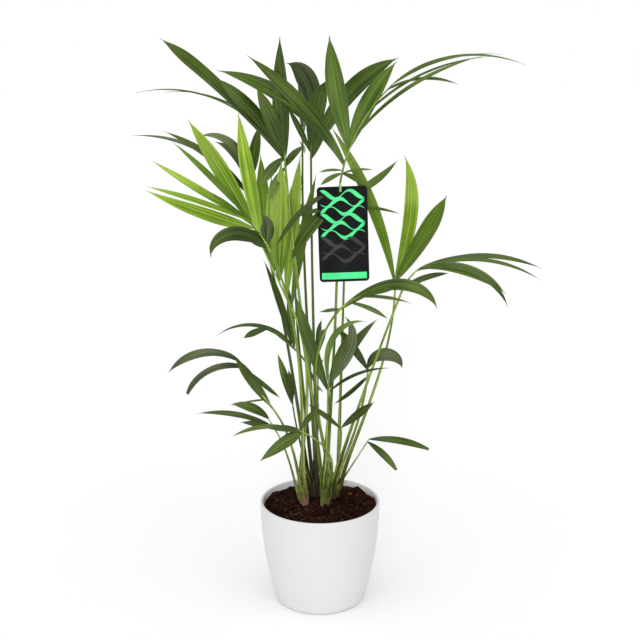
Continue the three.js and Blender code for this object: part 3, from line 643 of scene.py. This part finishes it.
# Each frond: its stem, its neck (where stalk meets blade), its turn about the upright, how
# far it leans out of its own plane, its tone, its rachis' length and first and last
# heading, its stalk's girth, and its leaflets, from low on the left over to the right.
frondKeys = ("stem", "neck", "turn", "out", "tone", "length", "heading", "girth")
fronds = {
    "crown_left": ["stem_front", [-55, -30, 762], 18, 14, "dark", 45, [-5, 0], 1,
        leaf(0.1, -145, 62, 12, -15, lift=14, roll=0.3),
        leaf(0.45, -136, 64, 14, -35, lift=10, roll=0.3),
        leaf([0.3, 0.35], [-65, -60], [274, 224], 8, -72, count=2, roll=1.6),
        leaf(0.35, -46, 272, 16, -20, widest=0.76, twist=25, roll=0.4),
        leaf(0.4, -41, 180, 22, -28, roll=0.4), leaf(0.6, -28, 122, 21, -14, roll=0.4),
        leaf(0.3, -6, 196, 22, 4, widest=0.4, roll=0.3), leaf(0.1, 44, 48, 12, 50),
    ],
    "crown_right": ["stem_front", [30, -10, 700], 8, 6, "middle", 225, [0, 50], 1,
        leaf(0.14, -130, 142, 10, -45, lift=7, tone="dark"),
        leaf([0, 0.04], [-100, -140], [80, 126], [8, 19], [-15, -40], count=2, lift=7, tone="dark"),
        leaf([0.24, 0.26], [-118, -94], 40, [8, 5], -35, count=2, lift=-8),
        leaf(0.3, -52, 256, 25, -56, widest=0.6, roll=0.4), leaf(0.31, -50, 214, 8, -42, roll=1.4),
        leaf(0.32, -42, 240, 20, -24, roll=0.5, tone="dark"),
        leaf(0.42, -10, 186, 27, 8, lift=-4, roll=0.3), leaf(0.42, 29, 160, 23, 26, roll=0.5),
        leaf([0.5, 0.95], [56, 75], [236, 178], 8, 44, count=3, roll=1.7),
        leaf([1, 0.9], [82, 86], [190, 112], [7, 9], 62, count=2, roll=1.5),
        leaf(0.24, [88, 119], [54, 46], [5, 9], 35, count=2, lift=-8),
        leaf([0.05, 0], [57, 99], [118, 107], [12, 5], [-30, 20], count=2, lift=-8),
    ],
    "left_back": ["stem_middle", [-113, 60, 694], -6, 4, "grey", 60, [-18, -10], 1,
        leaf(0, -64, 240, 8, -66, roll=1.2), leaf(0.1, -51, 190, 11, -34, tone="dark"),
        leaf(0.7, -48, 106, 14, -110, late=1.5), leaf(0.5, -36, 92, 13, -70, late=1.5),
        leaf(0.9, -2, 92, 13, 5, tone="dark"), leaf(0.5, 10, 104, 17, 0, tone="dark"),
    ],
    "young_left": ["stem_left", [-48, 8, 525], -4, 4, "bright", 160, [-26, -22], 1.1,
        leaf(0.92, -70, 190, 18, 6, widest=0.35), leaf(1, -69, 176, 9, -10), leaf(1, -60, 194, 12, 0),
        leaf(0.95, -50, 92, 8, -5, tone="fresh"), leaf(1, -44, 186, 9, -10, tone="fresh"),
        leaf(0.92, -31, 212, 24, -6), leaf(0.7, -8, 234, 22, 7),
        leaf(0.6, -2, 172, 20, 4, tone="fresh"), leaf(0.42, -1, 168, 22, 3), leaf(0.3, 3, 212, 26, 0),
        leaf(0.12, 7, 240, 19, 4), leaf(0, 10, 235, 14, 5, tone="fresh"),
    ],
    "right_upright": ["stem_right", [126, 14, 558], 8, 6, "bright", 35, [0, 8], 1,
        leaf(0.2, -22, 284, 17, -25, tone="fresh"), leaf(0.1, 4, 216, 22, -38, late=2.2, widest=0.55),
        leaf(0.3, 25, 172, 24, -8, widest=0.6, tone="fresh"),
    ],
    "right_arch": ["stem_right", [134, -34, 562], -8, 6, "dark", 50, [20, 50], 1,
        leaf(1, 80, 96, 8, 30),
        leaf([1, 0.8], [91, 92], [196, 206], [10, 7], [54, 62], count=2, roll=1.3),
        leaf(1, 103, 142, 18, 62, tone="fresh"), leaf(0.9, 107, 154, 12, 92, late=1.3),
        leaf(0.1, 70, 80, 12, 40),
    ],
    "left_arch": ["stem_left", [-80, -30, 359], 8, 6, "grey", 98, [-36, -28], 0.8,
        leaf(0.2, -92, 60, 6, -15, roll=1.4), leaf(0.9, -114, 106, 15, -95, tip=0.4),
        leaf(1, -92, 120, 14, -95), leaf(0.05, -32, 116, 15, 0, roll=0.3, tone="dark"),
        leaf(0.85, 131, 78, 8, 0, tone="dark"),
    ],
    "crown_back": ["stem_middle", [-15, 50, 768], 10, -14, "middle", 55, [0, 6], 1,
        leaf(0.2, -28, 90, 9, -8, tone="dark"),
        leaf(0.4, -17, 140, 29, -86, late=3, widest=0.7, roll=0.4, tone="grey"),
        leaf(0.3, 12, 120, 27, 24, late=2, widest=0.6, roll=0.4, tone="dark"),
        leaf(0.1, 42, 218, 27, 46, late=1.5, widest=0.6, roll=0.5), leaf(0, 26, 62, 10, 10),
    ],
    "low_left": ["stem_left", [-76, 10, 304], 0, 6, "dark", 25, [-30, -30], 0.6,
        leaf(0.2, -74, 60, 12, -30), leaf(0.3, -84, 138, 11, -44), leaf(1, -68, 70, 15, -60),
    ],
    "low_front": ["stem_front", [8, -50, 296], 6, 6, "dark", 60, [-40, -70], 0.8,
        leaf(0.8, -122, 84, 18, -10, widest=0.3, roll=0.3), leaf(1, -98, 108, 7, -50),
        leaf(0.8, -80, 56, 10, -36), leaf(0.9, 36, 58, 9, 5),
    ],
    "left_mid": ["stem_middle", [-44, 24, 448], -8, 6, "dark", 60, [-50, -55], 0.8,
        leaf(0.95, -112, 47, 11, -30), leaf(0.05, -83, 137, 9, -95, widest=0.35),
        leaf(0.1, -19, 158, 11, -14), leaf(0, -7, 105, 11, 6),
    ],
    "front_left": ["stem_left", [-80, -56, 634], 16, 8, "dark", 35, [-25, -35], 1,
        leaf(0.4, -101, 91, 20, -132, late=1.8, widest=0.4, roll=0.5),
        leaf(0.2, -52, 50, 20, -15, roll=0.5), leaf(0.4, -9, 50, 22, -70, late=2, tone="grey"),
    ],
    "right_mid": ["stem_front", [30, -56, 535], -10, 8, "dark", 45, [40, 66], 1,
        leaf(0.1, -98, 34, 8, -20), leaf(0.1, 87, 156, 18, 112, late=2, widest=0.62, roll=0.7),
        leaf(1, 74, 62, 11, 20), leaf(0.9, 92, 90, 8, 30), leaf(0.5, 113, 72, 8, 35),
    ],
    "centre": ["stem_front", [14, -40, 390], 6, 10, "dark", 30, [0, 6], 1.3,
        leaf(0.1, -17, 164, 18, 8, roll=0.3), leaf(0.5, 12, 118, 16, -90, late=3, tone="grey"),
        leaf(0.2, 20, 98, 13, 5), leaf(0.5, 28, 126, 9, 110, late=2, tone="middle"),
        leaf(0.3, 36, 142, 16, 22, roll=0.5), leaf(0, 68, 112, 6, 45),
    ],
    "right_small": ["stem_right", [80, -14, 410], -8, 6, "dark", 18, [5, 5], 0.8,
        leaf(0, -131, 75, 9, 8), leaf(0.6, -36, 93, 13, -12, roll=0.5),
        leaf(0.8, 90, 56, 19, 170, roll=0.6, tone="grey"),
    ],
    "low_fork": ["stem_front", [36, -42, 320], -8, 6, "dark", 10, [0, 0], 0.6,
        leaf([0.6, 0.9], [-50, 51], [74, 70], [8, 12], [-12, 6], count=2, roll=0.4),
    ],
    "low_right": ["stem_right", [78, 0, 282], -6, 6, "dark", 12, [30, 30], 0.4,
        leaf([1, 0.6], [96, 135], [104, 74], 11, [30, 22], count=2, tip=0.4, roll=0.6),
    ],
    "left_low": ["stem_middle", [-46, 25, 338], -8, 5, "dark", 16, [-8, -8], 0.6,
        leaf([0.4, 0.9], [-15, -2], [100, 66], [12, 9], -6, count=2, roll=0.4),
    ],
    "back_left": ["stem_middle", [-44, 96, 560], 94, 4, "middle", 125, [24, 72], 1,
        leaf([0.2, 0.95], [-20, 36], [80, 95], [15, 19], [-40, 10], count=4, lift=3),
        leaf([1, 0.2], [66, 112], [120, 100], 17, [20, 50], count=5, lift=3),
    ],
    "back_right": ["stem_right", [42, 96, 556], 86, -4, "dark", 125, [30, 80], 1,
        leaf([0.2, 0.95], [-14, 40], [76, 90], [15, 19], [-40, 10], count=4, lift=-3),
        leaf([1, 0.2], [70, 116], [120, 96], 17, [20, 50], count=5, lift=-3),
    ],
    "back_high": ["stem_middle", [-30, 92, 742], 90, 0, "middle", 130, [14, 82], 1,
        leaf([0.2, 0.95], [-8, 44], [80, 112], [15, 20], [-20, 10], count=4, lift=2),
        leaf([1, 0.35], [70, 104], [130, 110], 18, [20, 40], count=5, lift=2),
    ],
    "back_low": ["stem_right", [-4, 98, 330], 90, 2, "dark", 105, [34, 80], 0.8,
        leaf([0.2, 0.95], [-10, 40], [64, 78], [13, 16], [-20, 10], count=3, lift=2),
        leaf([1, 0.2], [72, 112], [98, 80], 14, [20, 45], count=4, lift=2),
    ],
}
fronds = {
    name: {**dict(zip(frondKeys, values)), "leaflets": values[len(frondKeys):]}
    for name, values in fronds.items()
}

leafShape = {
    "rows": 40, "columns": 16,  # steps along, and across one face
    "thickness": 0.35, "midRib": 0.5,
    "foot": 0.22,  # a leaflet's width at the rachis, as a share of its full width
    "wisp": 0.03,  # the share of its reach that is a thin wisp at the tip
    "wispWidth": 0.08, "leastWidth": 0.01,
    "fullness": 1.2,  # how much wider a leaflet is than its flat outline
    "leanRadius": 200,  # a frond's "out" is how far it leans out at this radius
    "headingSpread": 1.2, "reachSpread": 0.02, "widthSpread": 0.05, "leanSpread": 9,
    "arch": 0.03, "archSpread": 0.13,  # how far it bows out of the frond's plane
    "taper": 2.2,  # how late it narrows to its tip
    "pleats": 1.5, "footFold": 62, "footShare": 0.06, "crease": 0.004, "ribFade": 0.8,
    "wave": 7,  # radians of the wave along its edges
    "brightnessShares": (0.3, 0.45, 0.25),
}

# how the leaflets of each tone are held: the slope of their roof, how far the face of a
# level one looks up, how far one may stand out of its plane or twist, all in degrees, and
# how deep its pleats and the waves along its edges are
habitKeys = ("fold", "roll", "lift", "twist", "pleatDepth", "wave")
leafHabits = {
    "dark": (16, 50, 14, 26, 0.05, 0.07),
    "middle": (16, 46, 13, 24, 0.06, 0.06),
    "bright": (17, 28, 10, 16, 0.11, 0.03),
    "grey": (13, 56, 14, 26, 0.05, 0.07),
}
leafHabits = {tone: dict(zip(habitKeys, values)) for tone, values in leafHabits.items()}


# a frond lies in an upright plane turned about its neck, and leans out of it with
# the square of the distance from the neck
def planeOf(frond):
    turn = math.radians(frond["turn"])
    return {
        "neck": np.array(frond["neck"], float),
        "across": np.array([math.cos(turn), math.sin(turn), 0.0]),
        "facing": np.array([math.sin(turn), -math.cos(turn), 0.0]),
        "out": frond["out"],
    }


def placeOn(plane, side, rise, lift=0.0):
    lean = plane["out"] * (side * side + rise * rise) / leafShape["leanRadius"] ** 2 + lift
    ways = ((side, plane["across"]), (rise, np.array([0.0, 0.0, 1.0])), (lean, plane["facing"]))
    return sum((np.outer(*way) for way in ways), start=plane["neck"])


# the rachis turns evenly from its first heading to its last, and this is the chord
def rachisPoint(frond, share):
    heading = np.radians(blend(*frond["heading"], np.asarray(share) / 2))
    return frond["length"] * share * np.sin(heading), frond["length"] * share * np.cos(heading)


# the leaflets of a frond, each with its own small chances
def leafletsOf(frond, rng):
    habit = leafHabits[frond["tone"]]
    leaflets = []
    for row in frond["leaflets"]:
        for number in range(row["count"]):
            share = number / max(row["count"] - 1, 1)
            held = {
                key: blend(*value, share) if isinstance(value, list) else value
                for key, value in row.items()
            }
            chance = rng.uniform(-1, 1, 8)
            leaflets.append({
                **held,
                "root": rachisPoint(frond, held["at"]),
                "heading": held["heading"] + chance[0] * leafShape["headingSpread"],
                "reach": held["reach"] * (1 + chance[1] * leafShape["reachSpread"]),
                "width": held["width"] * (1 + chance[2] * leafShape["widthSpread"]),
                "lift": chance[3] * habit["lift"] if row["lift"] is None else row["lift"],
                "arch": leafShape["arch"] + chance[4] * leafShape["archSpread"],
                "roll": row["roll"] * habit["roll"],
                "lean": chance[5] * leafShape["leanSpread"],
                "twist": chance[6] * habit["twist"] if row["twist"] is None else row["twist"],
                "phase": chance[7] * np.pi,
                "shift": rng.uniform(0, 1),
                "tone": row["tone"] or frond["tone"],
                "finish": int(rng.choice(3, p=leafShape["brightnessShares"])),
            })
    return leaflets


# A leaflet's middle line in the frond's plane, and the heading along it: its way turns
# by the sweep, and is then turned and scaled so that its tip lies at heading and reach.
def leafletLine(leaflet, share):
    between = (share[1:] + share[:-1]) / 2
    way = np.radians(leaflet["sweep"]) * between ** leaflet["late"]
    side = np.concatenate([[0], np.cumsum(np.sin(way))])
    rise = np.concatenate([[0], np.cumsum(np.cos(way))])
    turn = math.radians(leaflet["heading"]) - math.atan2(side[-1], rise[-1])
    scale = leaflet["reach"] / math.hypot(side[-1], rise[-1])
    along = np.radians(leaflet["sweep"]) * share ** leaflet["late"] + turn
    return (
        leaflet["root"][0] + scale * (side * math.cos(turn) + rise * math.sin(turn)),
        leaflet["root"][1] + scale * (rise * math.cos(turn) - side * math.sin(turn)),
        along,
    )


# A lance shape: the half width swells from the foot as a quarter of a sine, narrows past
# the widest place, and runs out in a wisp.
def lanceWidth(leaflet, share):
    foot, widest = leafShape["foot"], leaflet["widest"]
    swell = foot + (1 - foot) * np.sin(np.pi / 2 * np.clip(share / widest, 0, 1))
    past = np.clip((share - widest) / (1 - leafShape["wisp"] - widest), 0, 1)
    taper = 1 - (1 - leaflet["tip"]) * past ** leafShape["taper"]
    wisp = leafShape["wispWidth"] * (1 - ease(share, 0.95, 1))
    return np.maximum(swell * taper, wisp + leafShape["leastWidth"])


# A leaflet: its middle line lies in the frond's plane and stands out of it by lift and
# arch. Each section is a low roof, folded along the middle rib and pleated. Its face looks
# out of the plane where it runs upright, and more and more upwards where it runs level.
def leafletPart(plane, leaflet, habit):
    share = np.linspace(0, 1, leafShape["rows"])
    side, rise, along = leafletLine(leaflet, share)
    lift = math.tan(math.radians(leaflet["lift"])) * share + leaflet["arch"] * share ** 2
    middle = placeOn(plane, side, rise, leaflet["reach"] * lift)
    front, right = squareTo(middle, plane["facing"])
    roll = leaflet["roll"] * np.sin(along) * ease(share, -0.2, 0.35)
    roll = np.radians(roll + leaflet["lean"] + leaflet["twist"] * share)[:, None]
    wide = right * np.cos(roll) + front * np.sin(roll)
    face = front * np.cos(roll) - right * np.sin(roll)

    half = leafShape["fullness"] * leaflet["width"] / 2 * lanceWidth(leaflet, share)[:, None]
    across = np.linspace(-1, 1, leafShape["columns"] + 1)[None]
    footFold = (leafShape["footFold"] - habit["fold"]) * np.exp(-share / leafShape["footShare"])
    fold = np.radians(habit["fold"] + footFold)[:, None]
    roof = np.sqrt(across ** 2 + leafShape["crease"])
    pleat = habit["pleatDepth"] * np.cos(2 * np.pi * leafShape["pleats"] * roof) * (1 - across ** 4)
    wave = habit["wave"] * np.sin(leafShape["wave"] * share + leaflet["phase"])[:, None]
    wave = wave * across ** 2 * np.sign(across)
    x = half * across * np.cos(fold)
    z = half * (pleat + wave - roof * np.sin(fold))
    thick = leafShape["thickness"] / 2 * (1 - across ** 2)
    ribFade = (1 - leafShape["ribFade"] * share)[:, None]
    rib = leafShape["midRib"] * np.exp(-(across * half) ** 2) * ribFade

    flat = middle[:, None] + wide[:, None] * x[..., None]
    top = flat + face[:, None] * (z + thick)[..., None]
    under = flat + face[:, None] * (z - thick - rib)[..., None]
    under[:, [0, -1]] = top[:, [0, -1]]
    rings = np.concatenate([top, under[:, -2:0:-1]], axis=1)
    level = (across[0] + 1) / 2
    return skin(rings, np.concatenate([level, level[-2::-1]]), leaflet["shift"], leaflet["finish"])


# A frond's rib is a limb along its rachis, thinning evenly.
ribShape = {"footRadius": 2.0, "tipRadius": 1.0, "rows": 20, "sides": 12, "groove": 0.2}


def makeFrond(name, number):
    frond = fronds[name]
    rng = dice(100 + number)
    plane = planeOf(frond)
    habit = leafHabits[frond["tone"]]
    leaflets = leafletsOf(frond, rng)
    tones = sorted({leaflet["tone"] for leaflet in leaflets})
    for leaflet in leaflets:
        leaflet["finish"] += 3 * tones.index(leaflet["tone"])
    parts = [leafletPart(plane, leaflet, habit) for leaflet in leaflets]
    dealt = [finish for tone in tones for finish in leafFinishes[tone]]
    makePiece(f"leaves_{name}", parts, dealt, f"frond_{name}", f"leaf_{frond['tone']}", sharpAngle=75)
    share = np.linspace(0, 1, ribShape["rows"])
    path = placeOn(plane, *rachisPoint(frond, share))
    radius = blend(ribShape["footRadius"], ribShape["tipRadius"], share) * frond["girth"] ** 0.5
    rib = limb(path, radius, ribShape["sides"], plane["facing"], ribShape["groove"], rng.uniform(0, 1))
    makePiece(f"rib_{name}", [rib], [stalkFinishes[frond["stem"]]], f"frond_{name}", "stalk")


stalkShape = {
    "footRadius": 3.9, "tipRadius": 1.9, "riseShare": 0.2, "bow": 0.03, "runShare": 0.35,
    "sides": 14, "rows": 48, "groove": 0.22, "taper": 1.4, "startShare": 0.45, "level": 12,
}


# the middle of a CAD stalk's foot
def seatOf(name):
    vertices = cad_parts[f"stalk_{name}"].data.vertices
    points = np.zeros(len(vertices) * 3)
    vertices.foreach_get("co", points)
    points = points.reshape(-1, 3) / millimetre
    return points[points[:, 2] < points[:, 2].min() + 0.5].mean(axis=0)


# the four points of a stalk's curve, which leaves its seat towards the neck, bowed up a
# little, and runs straight into the foot of the rachis
def stalkPoints(name):
    frond = fronds[name]
    plane = planeOf(frond)
    heading = math.radians(frond["heading"][0])
    run = plane["across"] * math.sin(heading) + np.array([0, 0, math.cos(heading)])
    seat, neck = seatOf(name), plane["neck"]
    span = np.linalg.norm(neck - seat)
    low = blend(seat, neck, stalkShape["riseShare"]) + np.array([0, 0, stalkShape["bow"] * span])
    return [seat, low, neck - run * stalkShape["runShare"] * span, neck + run]


# the way from the soil up to the seat, where the stalk starts inside its sheath
def footPath(name, rows):
    seat, ahead = stalkPoints(name)[:2]
    stem = fronds[name]["stem"]
    foot = np.array([*stemFeet[stem], soilTop - footDepth])
    top = foot + [*stemLeans[stem], stemHeight + footDepth]
    start = foot + stalkShape["startShare"] * (seat - top)
    pull = seat - stalkShape["level"] * unit(ahead - seat)
    return cubic([start, blend(start, seat, 0.4), pull, seat], np.linspace(0, 1, rows))


# which way a stalk's seat lies from the middle of its stem's top
def bearingOf(name):
    stem = fronds[name]["stem"]
    return seatOf(name)[:2] - np.array(stemFeet[stem]) - np.array(stemLeans[stem])


# A stalk: a grooved limb up through its sheath and along its curve, that thins with a
# power of the way still to go.
def makeStalk(name, number):
    shape, stem = stalkShape, fronds[name]["stem"]
    rng = dice(200 + number)
    share = np.linspace(0, 1, shape["rows"])
    path = np.concatenate([footPath(name, 10)[:-1], cubic(stalkPoints(name), share)])
    way = np.concatenate([np.zeros(9), share])
    girth = fronds[name]["girth"]
    radius = blend(shape["tipRadius"], shape["footRadius"], (1 - way) ** shape["taper"]) * girth ** 0.6
    facing = (*unit(bearingOf(name)), 0)
    part = limb(path, radius, shape["sides"], facing, shape["groove"], rng.uniform(0, 1))
    makePiece(f"petiole_{name}", [part], [stalkFinishes[stem]], f"stalk_{name}", "stalk")


sheathShape = {
    "footRadius": 7.6, "nesting": 0.65, "height": 38, "thickness": 0.9, "rows": 40, "columns": 22,
    "footReach": 120, "topReach": 18,  # degrees either side of its stalk
    "heightSpread": (0.75, 1.25), "ragged": 0.1, "ridgeHeight": 0.25, "ridges": 9,
    "coreRise": (-8, 24), "coreRadius": (5.0, 3.0), "coreRows": 16, "coreSides": 18,
}


# A sheath clasps the stem: each section is an arc of a circle with a thickness, nearly
# closed at the soil, that narrows upwards to a strip lying on its own stalk.
def sheathPart(name, order, rng):
    shape, stem = sheathShape, fronds[name]["stem"]
    girth = fronds[name]["girth"] ** 0.6
    share = np.linspace(0, 1, shape["rows"])
    ownPath = cubic(stalkPoints(name), np.linspace(0, 0.25, 30))
    ownPath = np.concatenate([footPath(name, 30)[:-1], ownPath])
    top = soilTop + shape["height"] * rng.uniform(*shape["heightSpread"]) * girth
    height = blend(soilTop - footDepth, top, share)
    own = np.stack([np.interp(height, ownPath[:, 2], ownPath[:, axis]) for axis in (0, 1)], axis=1)
    narrowing = ease(share, 0.0, 0.6)[:, None]
    lean = np.array(stemLeans[stem]) / stemHeight
    stemMiddle = np.array(stemFeet[stem]) + (height - soilTop)[:, None] * lean
    centre = blend(stemMiddle, own, narrowing)
    ownRadius = blend(stalkShape["footRadius"], stalkShape["tipRadius"], 0.15) * girth + 0.5
    radius = blend(shape["footRadius"] - shape["nesting"] * order, ownRadius, narrowing)
    bearing = bearingOf(name)
    ragged = 1 + shape["ragged"] * bumps(share * 400, np.full_like(share, 50.0 + 30 * order), 14, 40)
    reach = np.radians(blend(shape["footReach"], shape["topReach"], ease(share, 0.0, 0.8))) * ragged
    reach[-3:] *= np.array([0.75, 0.5, 0.2])
    spokes = np.linspace(-1, 1, shape["columns"] + 1)
    angle = math.atan2(bearing[1], bearing[0]) + reach[:, None] * spokes
    ridges = shape["ridgeHeight"] * np.sin(shape["ridges"] * angle + 4 * order)

    def shell(offset):
        r = radius + offset + ridges
        return np.stack([
            centre[:, :1] + r * np.cos(angle), centre[:, 1:] + r * np.sin(angle),
            np.broadcast_to(height[:, None], angle.shape),
        ], axis=-1)

    rings = np.concatenate([shell(shape["thickness"]), shell(0.0)[:, ::-1]], axis=1)
    level = np.linspace(0, 1, shape["columns"] + 1)
    return skin(rings, np.concatenate([level, level[::-1], level[:1]]), rng.uniform(0, 1))


# A stem: the sheaths of its stalks, the lowest frond's outermost, about a leaning core.
def makeStem(stemName, number, finish, slot):
    rng = dice(300 + number)
    carried = sorted((name for name in fronds if fronds[name]["stem"] == stemName),
                     key=lambda name: fronds[name]["neck"][2])
    parts = [sheathPart(name, order, rng) for order, name in enumerate(carried)]
    rise = np.linspace(*sheathShape["coreRise"], sheathShape["coreRows"])[:, None]
    slope = np.array([*stemLeans[stemName], stemHeight]) / stemHeight
    path = np.array([*stemFeet[stemName], soilTop]) + rise * slope
    radius = np.linspace(*sheathShape["coreRadius"], sheathShape["coreRows"])
    parts.append(limb(path, radius, sheathShape["coreSides"]))
    makePiece(stemName.replace("stem", "sheaths"), parts, [finish], stemName, slot)


cardShape = {
    "width": 82, "height": 158, "thickness": 0.8, "corner": 6, "centre": (38, -20, 655),
    "tilt": -2, "bow": 1.6, "edge": 0.25,
}
printShape = {
    "waves": 9, "mintWaves": 6, "top": 66, "pitch": 13, "swing": 6.5, "length": 46, "turn": 2.1,
    "thin": 1.4, "swell": 5.2, "band": 11.0, "bandRise": 10, "inset": 4, "lift": 0.12, "sink": 0.05,
    "fade": 6, "steps": 90,
}


# points (x across, z up) on the card's plane, which is bowed back with the square of x
def onCard(points, depth):
    x, z = points.T
    tilt = math.radians(cardShape["tilt"])
    back = depth + cardShape["bow"] * (x / (cardShape["width"] / 2)) ** 2
    centre = cardShape["centre"]
    return np.stack([
        centre[0] + x * math.cos(tilt) + z * math.sin(tilt),
        centre[1] + back,
        centre[2] + z * math.cos(tilt) - x * math.sin(tilt),
    ], axis=-1)


# a rectangle with round corners, drawn in by an inset, anticlockwise from the right
def cardOutline(inset):
    half = np.array([cardShape["width"], cardShape["height"]]) / 2 - inset
    corner = max(cardShape["corner"] - inset, 0.5)
    angle = np.radians(np.linspace(0, 90, 9) + 90 * np.arange(4)[:, None])
    quarters = np.array([[1, 1], [-1, 1], [-1, -1], [1, -1]])[:, None]
    circle = np.stack([np.cos(angle), np.sin(angle)], axis=-1)
    return (quarters * (half - corner) + corner * circle).reshape(-1, 2)


# The card: its outline in rings, from the middle of its back over the edge to its front.
def makeCard():
    half, edge = cardShape["thickness"] / 2, cardShape["edge"]
    layers = [cardOutline(0) * scale for scale in (0.15, 0.4, 0.65, 0.85)]
    rings = [onCard(layer, half) for layer in layers]
    for inset, depth in ((edge, half), (0, half - edge), (0, edge - half), (edge, -half)):
        rings.append(onCard(cardOutline(inset), depth))
    rings += [onCard(layer, -half) for layer in reversed(layers)]
    black = cardFinish("blackCard", (0.0045, 0.005, 0.005), 0.5)
    body = skin(np.stack(rings)[:, ::-1])
    makePiece("hang_card", [body], [black], "label_card", "card", sharpAngle=50)


# A printed stroke: a band along a line on the card, swelling and thinning like a brush
# stroke, a hair proud of the card.
def stroke(x, z, width, finish):
    line = np.stack([x, z], axis=1)
    ahead = unit(np.gradient(line, axis=0))
    normal = np.stack([-ahead[:, 1], ahead[:, 0]], axis=1) * width[:, None] / 2
    front = -cardShape["thickness"] / 2 - printShape["lift"]
    back = -cardShape["thickness"] / 2 + printShape["sink"]
    corners = [
        onCard(line + sign * normal, depth)
        for sign, depth in ((1, back), (1, front), (-1, front), (-1, back))
    ]
    return skin(np.stack(corners, axis=1), finish=finish)


# the print: rows of waves, and a plain band along the foot
def makePrint():
    shape = printShape
    half = cardShape["width"] / 2 - shape["inset"]
    x = np.linspace(-half, half, shape["steps"])
    parts = []
    for number in range(shape["waves"]):
        phase = shape["turn"] * number
        swing = shape["swing"] * np.sin(2 * np.pi * x / shape["length"] + phase)
        width = shape["thin"] + shape["swell"] * np.sin(np.pi * x / shape["length"] + phase) ** 2
        fade = ease(half - np.abs(x), 0, shape["fade"])
        z = shape["top"] - shape["pitch"] * number + swing
        parts.append(stroke(x, z, width * fade + 0.05, int(number >= shape["mintWaves"])))
    foot = -cardShape["height"] / 2 + shape["bandRise"]
    parts.append(stroke(x, np.full_like(x, foot), np.full_like(x, shape["band"]), 0))
    finishes = [
        cardFinish("mintPrint", (0.075, 0.68, 0.24), 0.4),
        cardFinish("greyPrint", (0.035, 0.036, 0.04), 0.4),
    ]
    makePiece("card_print", parts, finishes, "label_card")


strapShape = {
    "width": 3.4, "middle": 731, "reach": 7.5, "front": 1.6, "behind": 3.4, "aside": 3, "steps": 48,
    "outer": 1 + 0.6 / 7,  # how much larger the loop is outside than inside
}


# the strap: a flat loop through the card near its top edge and round the stalk behind it
def makeStrap():
    shape, count = strapShape, strapShape["steps"]
    neck = fronds["crown_right"]["neck"]
    front, back = cardShape["centre"][1] - shape["front"], neck[1] + shape["behind"]
    angle = np.linspace(0, 2 * np.pi, count, endpoint=False)
    y, z = (back - front) / 2 * np.cos(angle), shape["reach"] * np.sin(angle)
    ring = []
    for side, scale in ((-1, 1), (1, 1), (1, shape["outer"]), (-1, shape["outer"])):
        x = np.full(count, neck[0] + shape["aside"] + side * shape["width"] / 2)
        ring.append(np.stack([x, (front + back) / 2 + y * scale, shape["middle"] + z * scale], axis=1))
    place = np.arange(count * 4).reshape(count, 4)
    onward, after = np.roll(place, -1, axis=0), np.roll(place, -1, axis=1)
    quads = np.stack([place, after, np.roll(after, -1, axis=0), onward], axis=-1).reshape(-1, 4)
    part = quadPart(np.stack(ring, axis=1), quads)
    green = cardFinish("greenStrap", (0.2, 0.42, 0.14), 0.4)
    makePiece("card_strap", [part], [green], "label_strap", "strap", sharpAngle=40)


def makeFloor():
    bpy.ops.mesh.primitive_plane_add(size=studio["floorSize"])
    floor = bpy.context.object
    floor.name = "floor"
    material, shader = newFinish("paleFloor", (0.97, 0.97, 0.97), 0.9)
    clouds = spread(patches(placeOf(shader)[0], 3.0), 0.3, 0.7)
    colour = mixed(clouds, (0.965, 0.97, 0.965), (0.975, 0.975, 0.975))
    connect(shader.inputs["Base Color"], colour)
    floor.data.materials.append(material)
    floor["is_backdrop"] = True


def setLight():
    world = bpy.data.worlds.new("whiteSky")
    world.use_nodes = True
    sky = world.node_tree.nodes["Background"]
    connect(sky.inputs["Color"], (1, 1, 1))
    ray = addNode(sky, "LightPath").outputs["Is Camera Ray"]
    connect(sky.inputs["Strength"], spread(ray, 0, 1, studio["skyGlow"]))
    bpy.context.scene.world = world
    makeSun("broadSun")
    makeSun("frontSun").visible_glossy = False


makePot()
makeSoil()
makeChips()
makeFibres()
print("pot and soil made")

for number, name in enumerate(fronds):
    makeFrond(name, number)
    makeStalk(name, number)
print(len(fronds), "fronds made")

# each stem's finish and slot, and its sheaths' colours low down, higher up and in their fibres
sheaths = {
    "stem_left": ("redSheath", "red", (0.3, 0.13, 0.1), (0.19, 0.2, 0.04), (0.42, 0.3, 0.24)),
    "stem_middle": (
        "brownSheath", "brown", (0.032, 0.02, 0.014), (0.04, 0.036, 0.016), (0.2, 0.16, 0.12),
    ),
    "stem_front": (
        "greenSheath", "green", (0.085, 0.1, 0.02), (0.12, 0.17, 0.025), (0.4, 0.36, 0.24),
    ),
    "stem_right": (
        "mixedSheath", "brown", (0.055, 0.04, 0.018), (0.1, 0.12, 0.022), (0.22, 0.11, 0.07),
    ),
}
for number, (stemName, (finish, kind, *tones)) in enumerate(sheaths.items()):
    makeStem(stemName, number, sheathFinish(finish, *tones), f"sheath_{kind}")
print("stems made")

makeCard()
makePrint()
makeStrap()
makeFloor()
setLight()
print("card, floor and light made")

low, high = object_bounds()
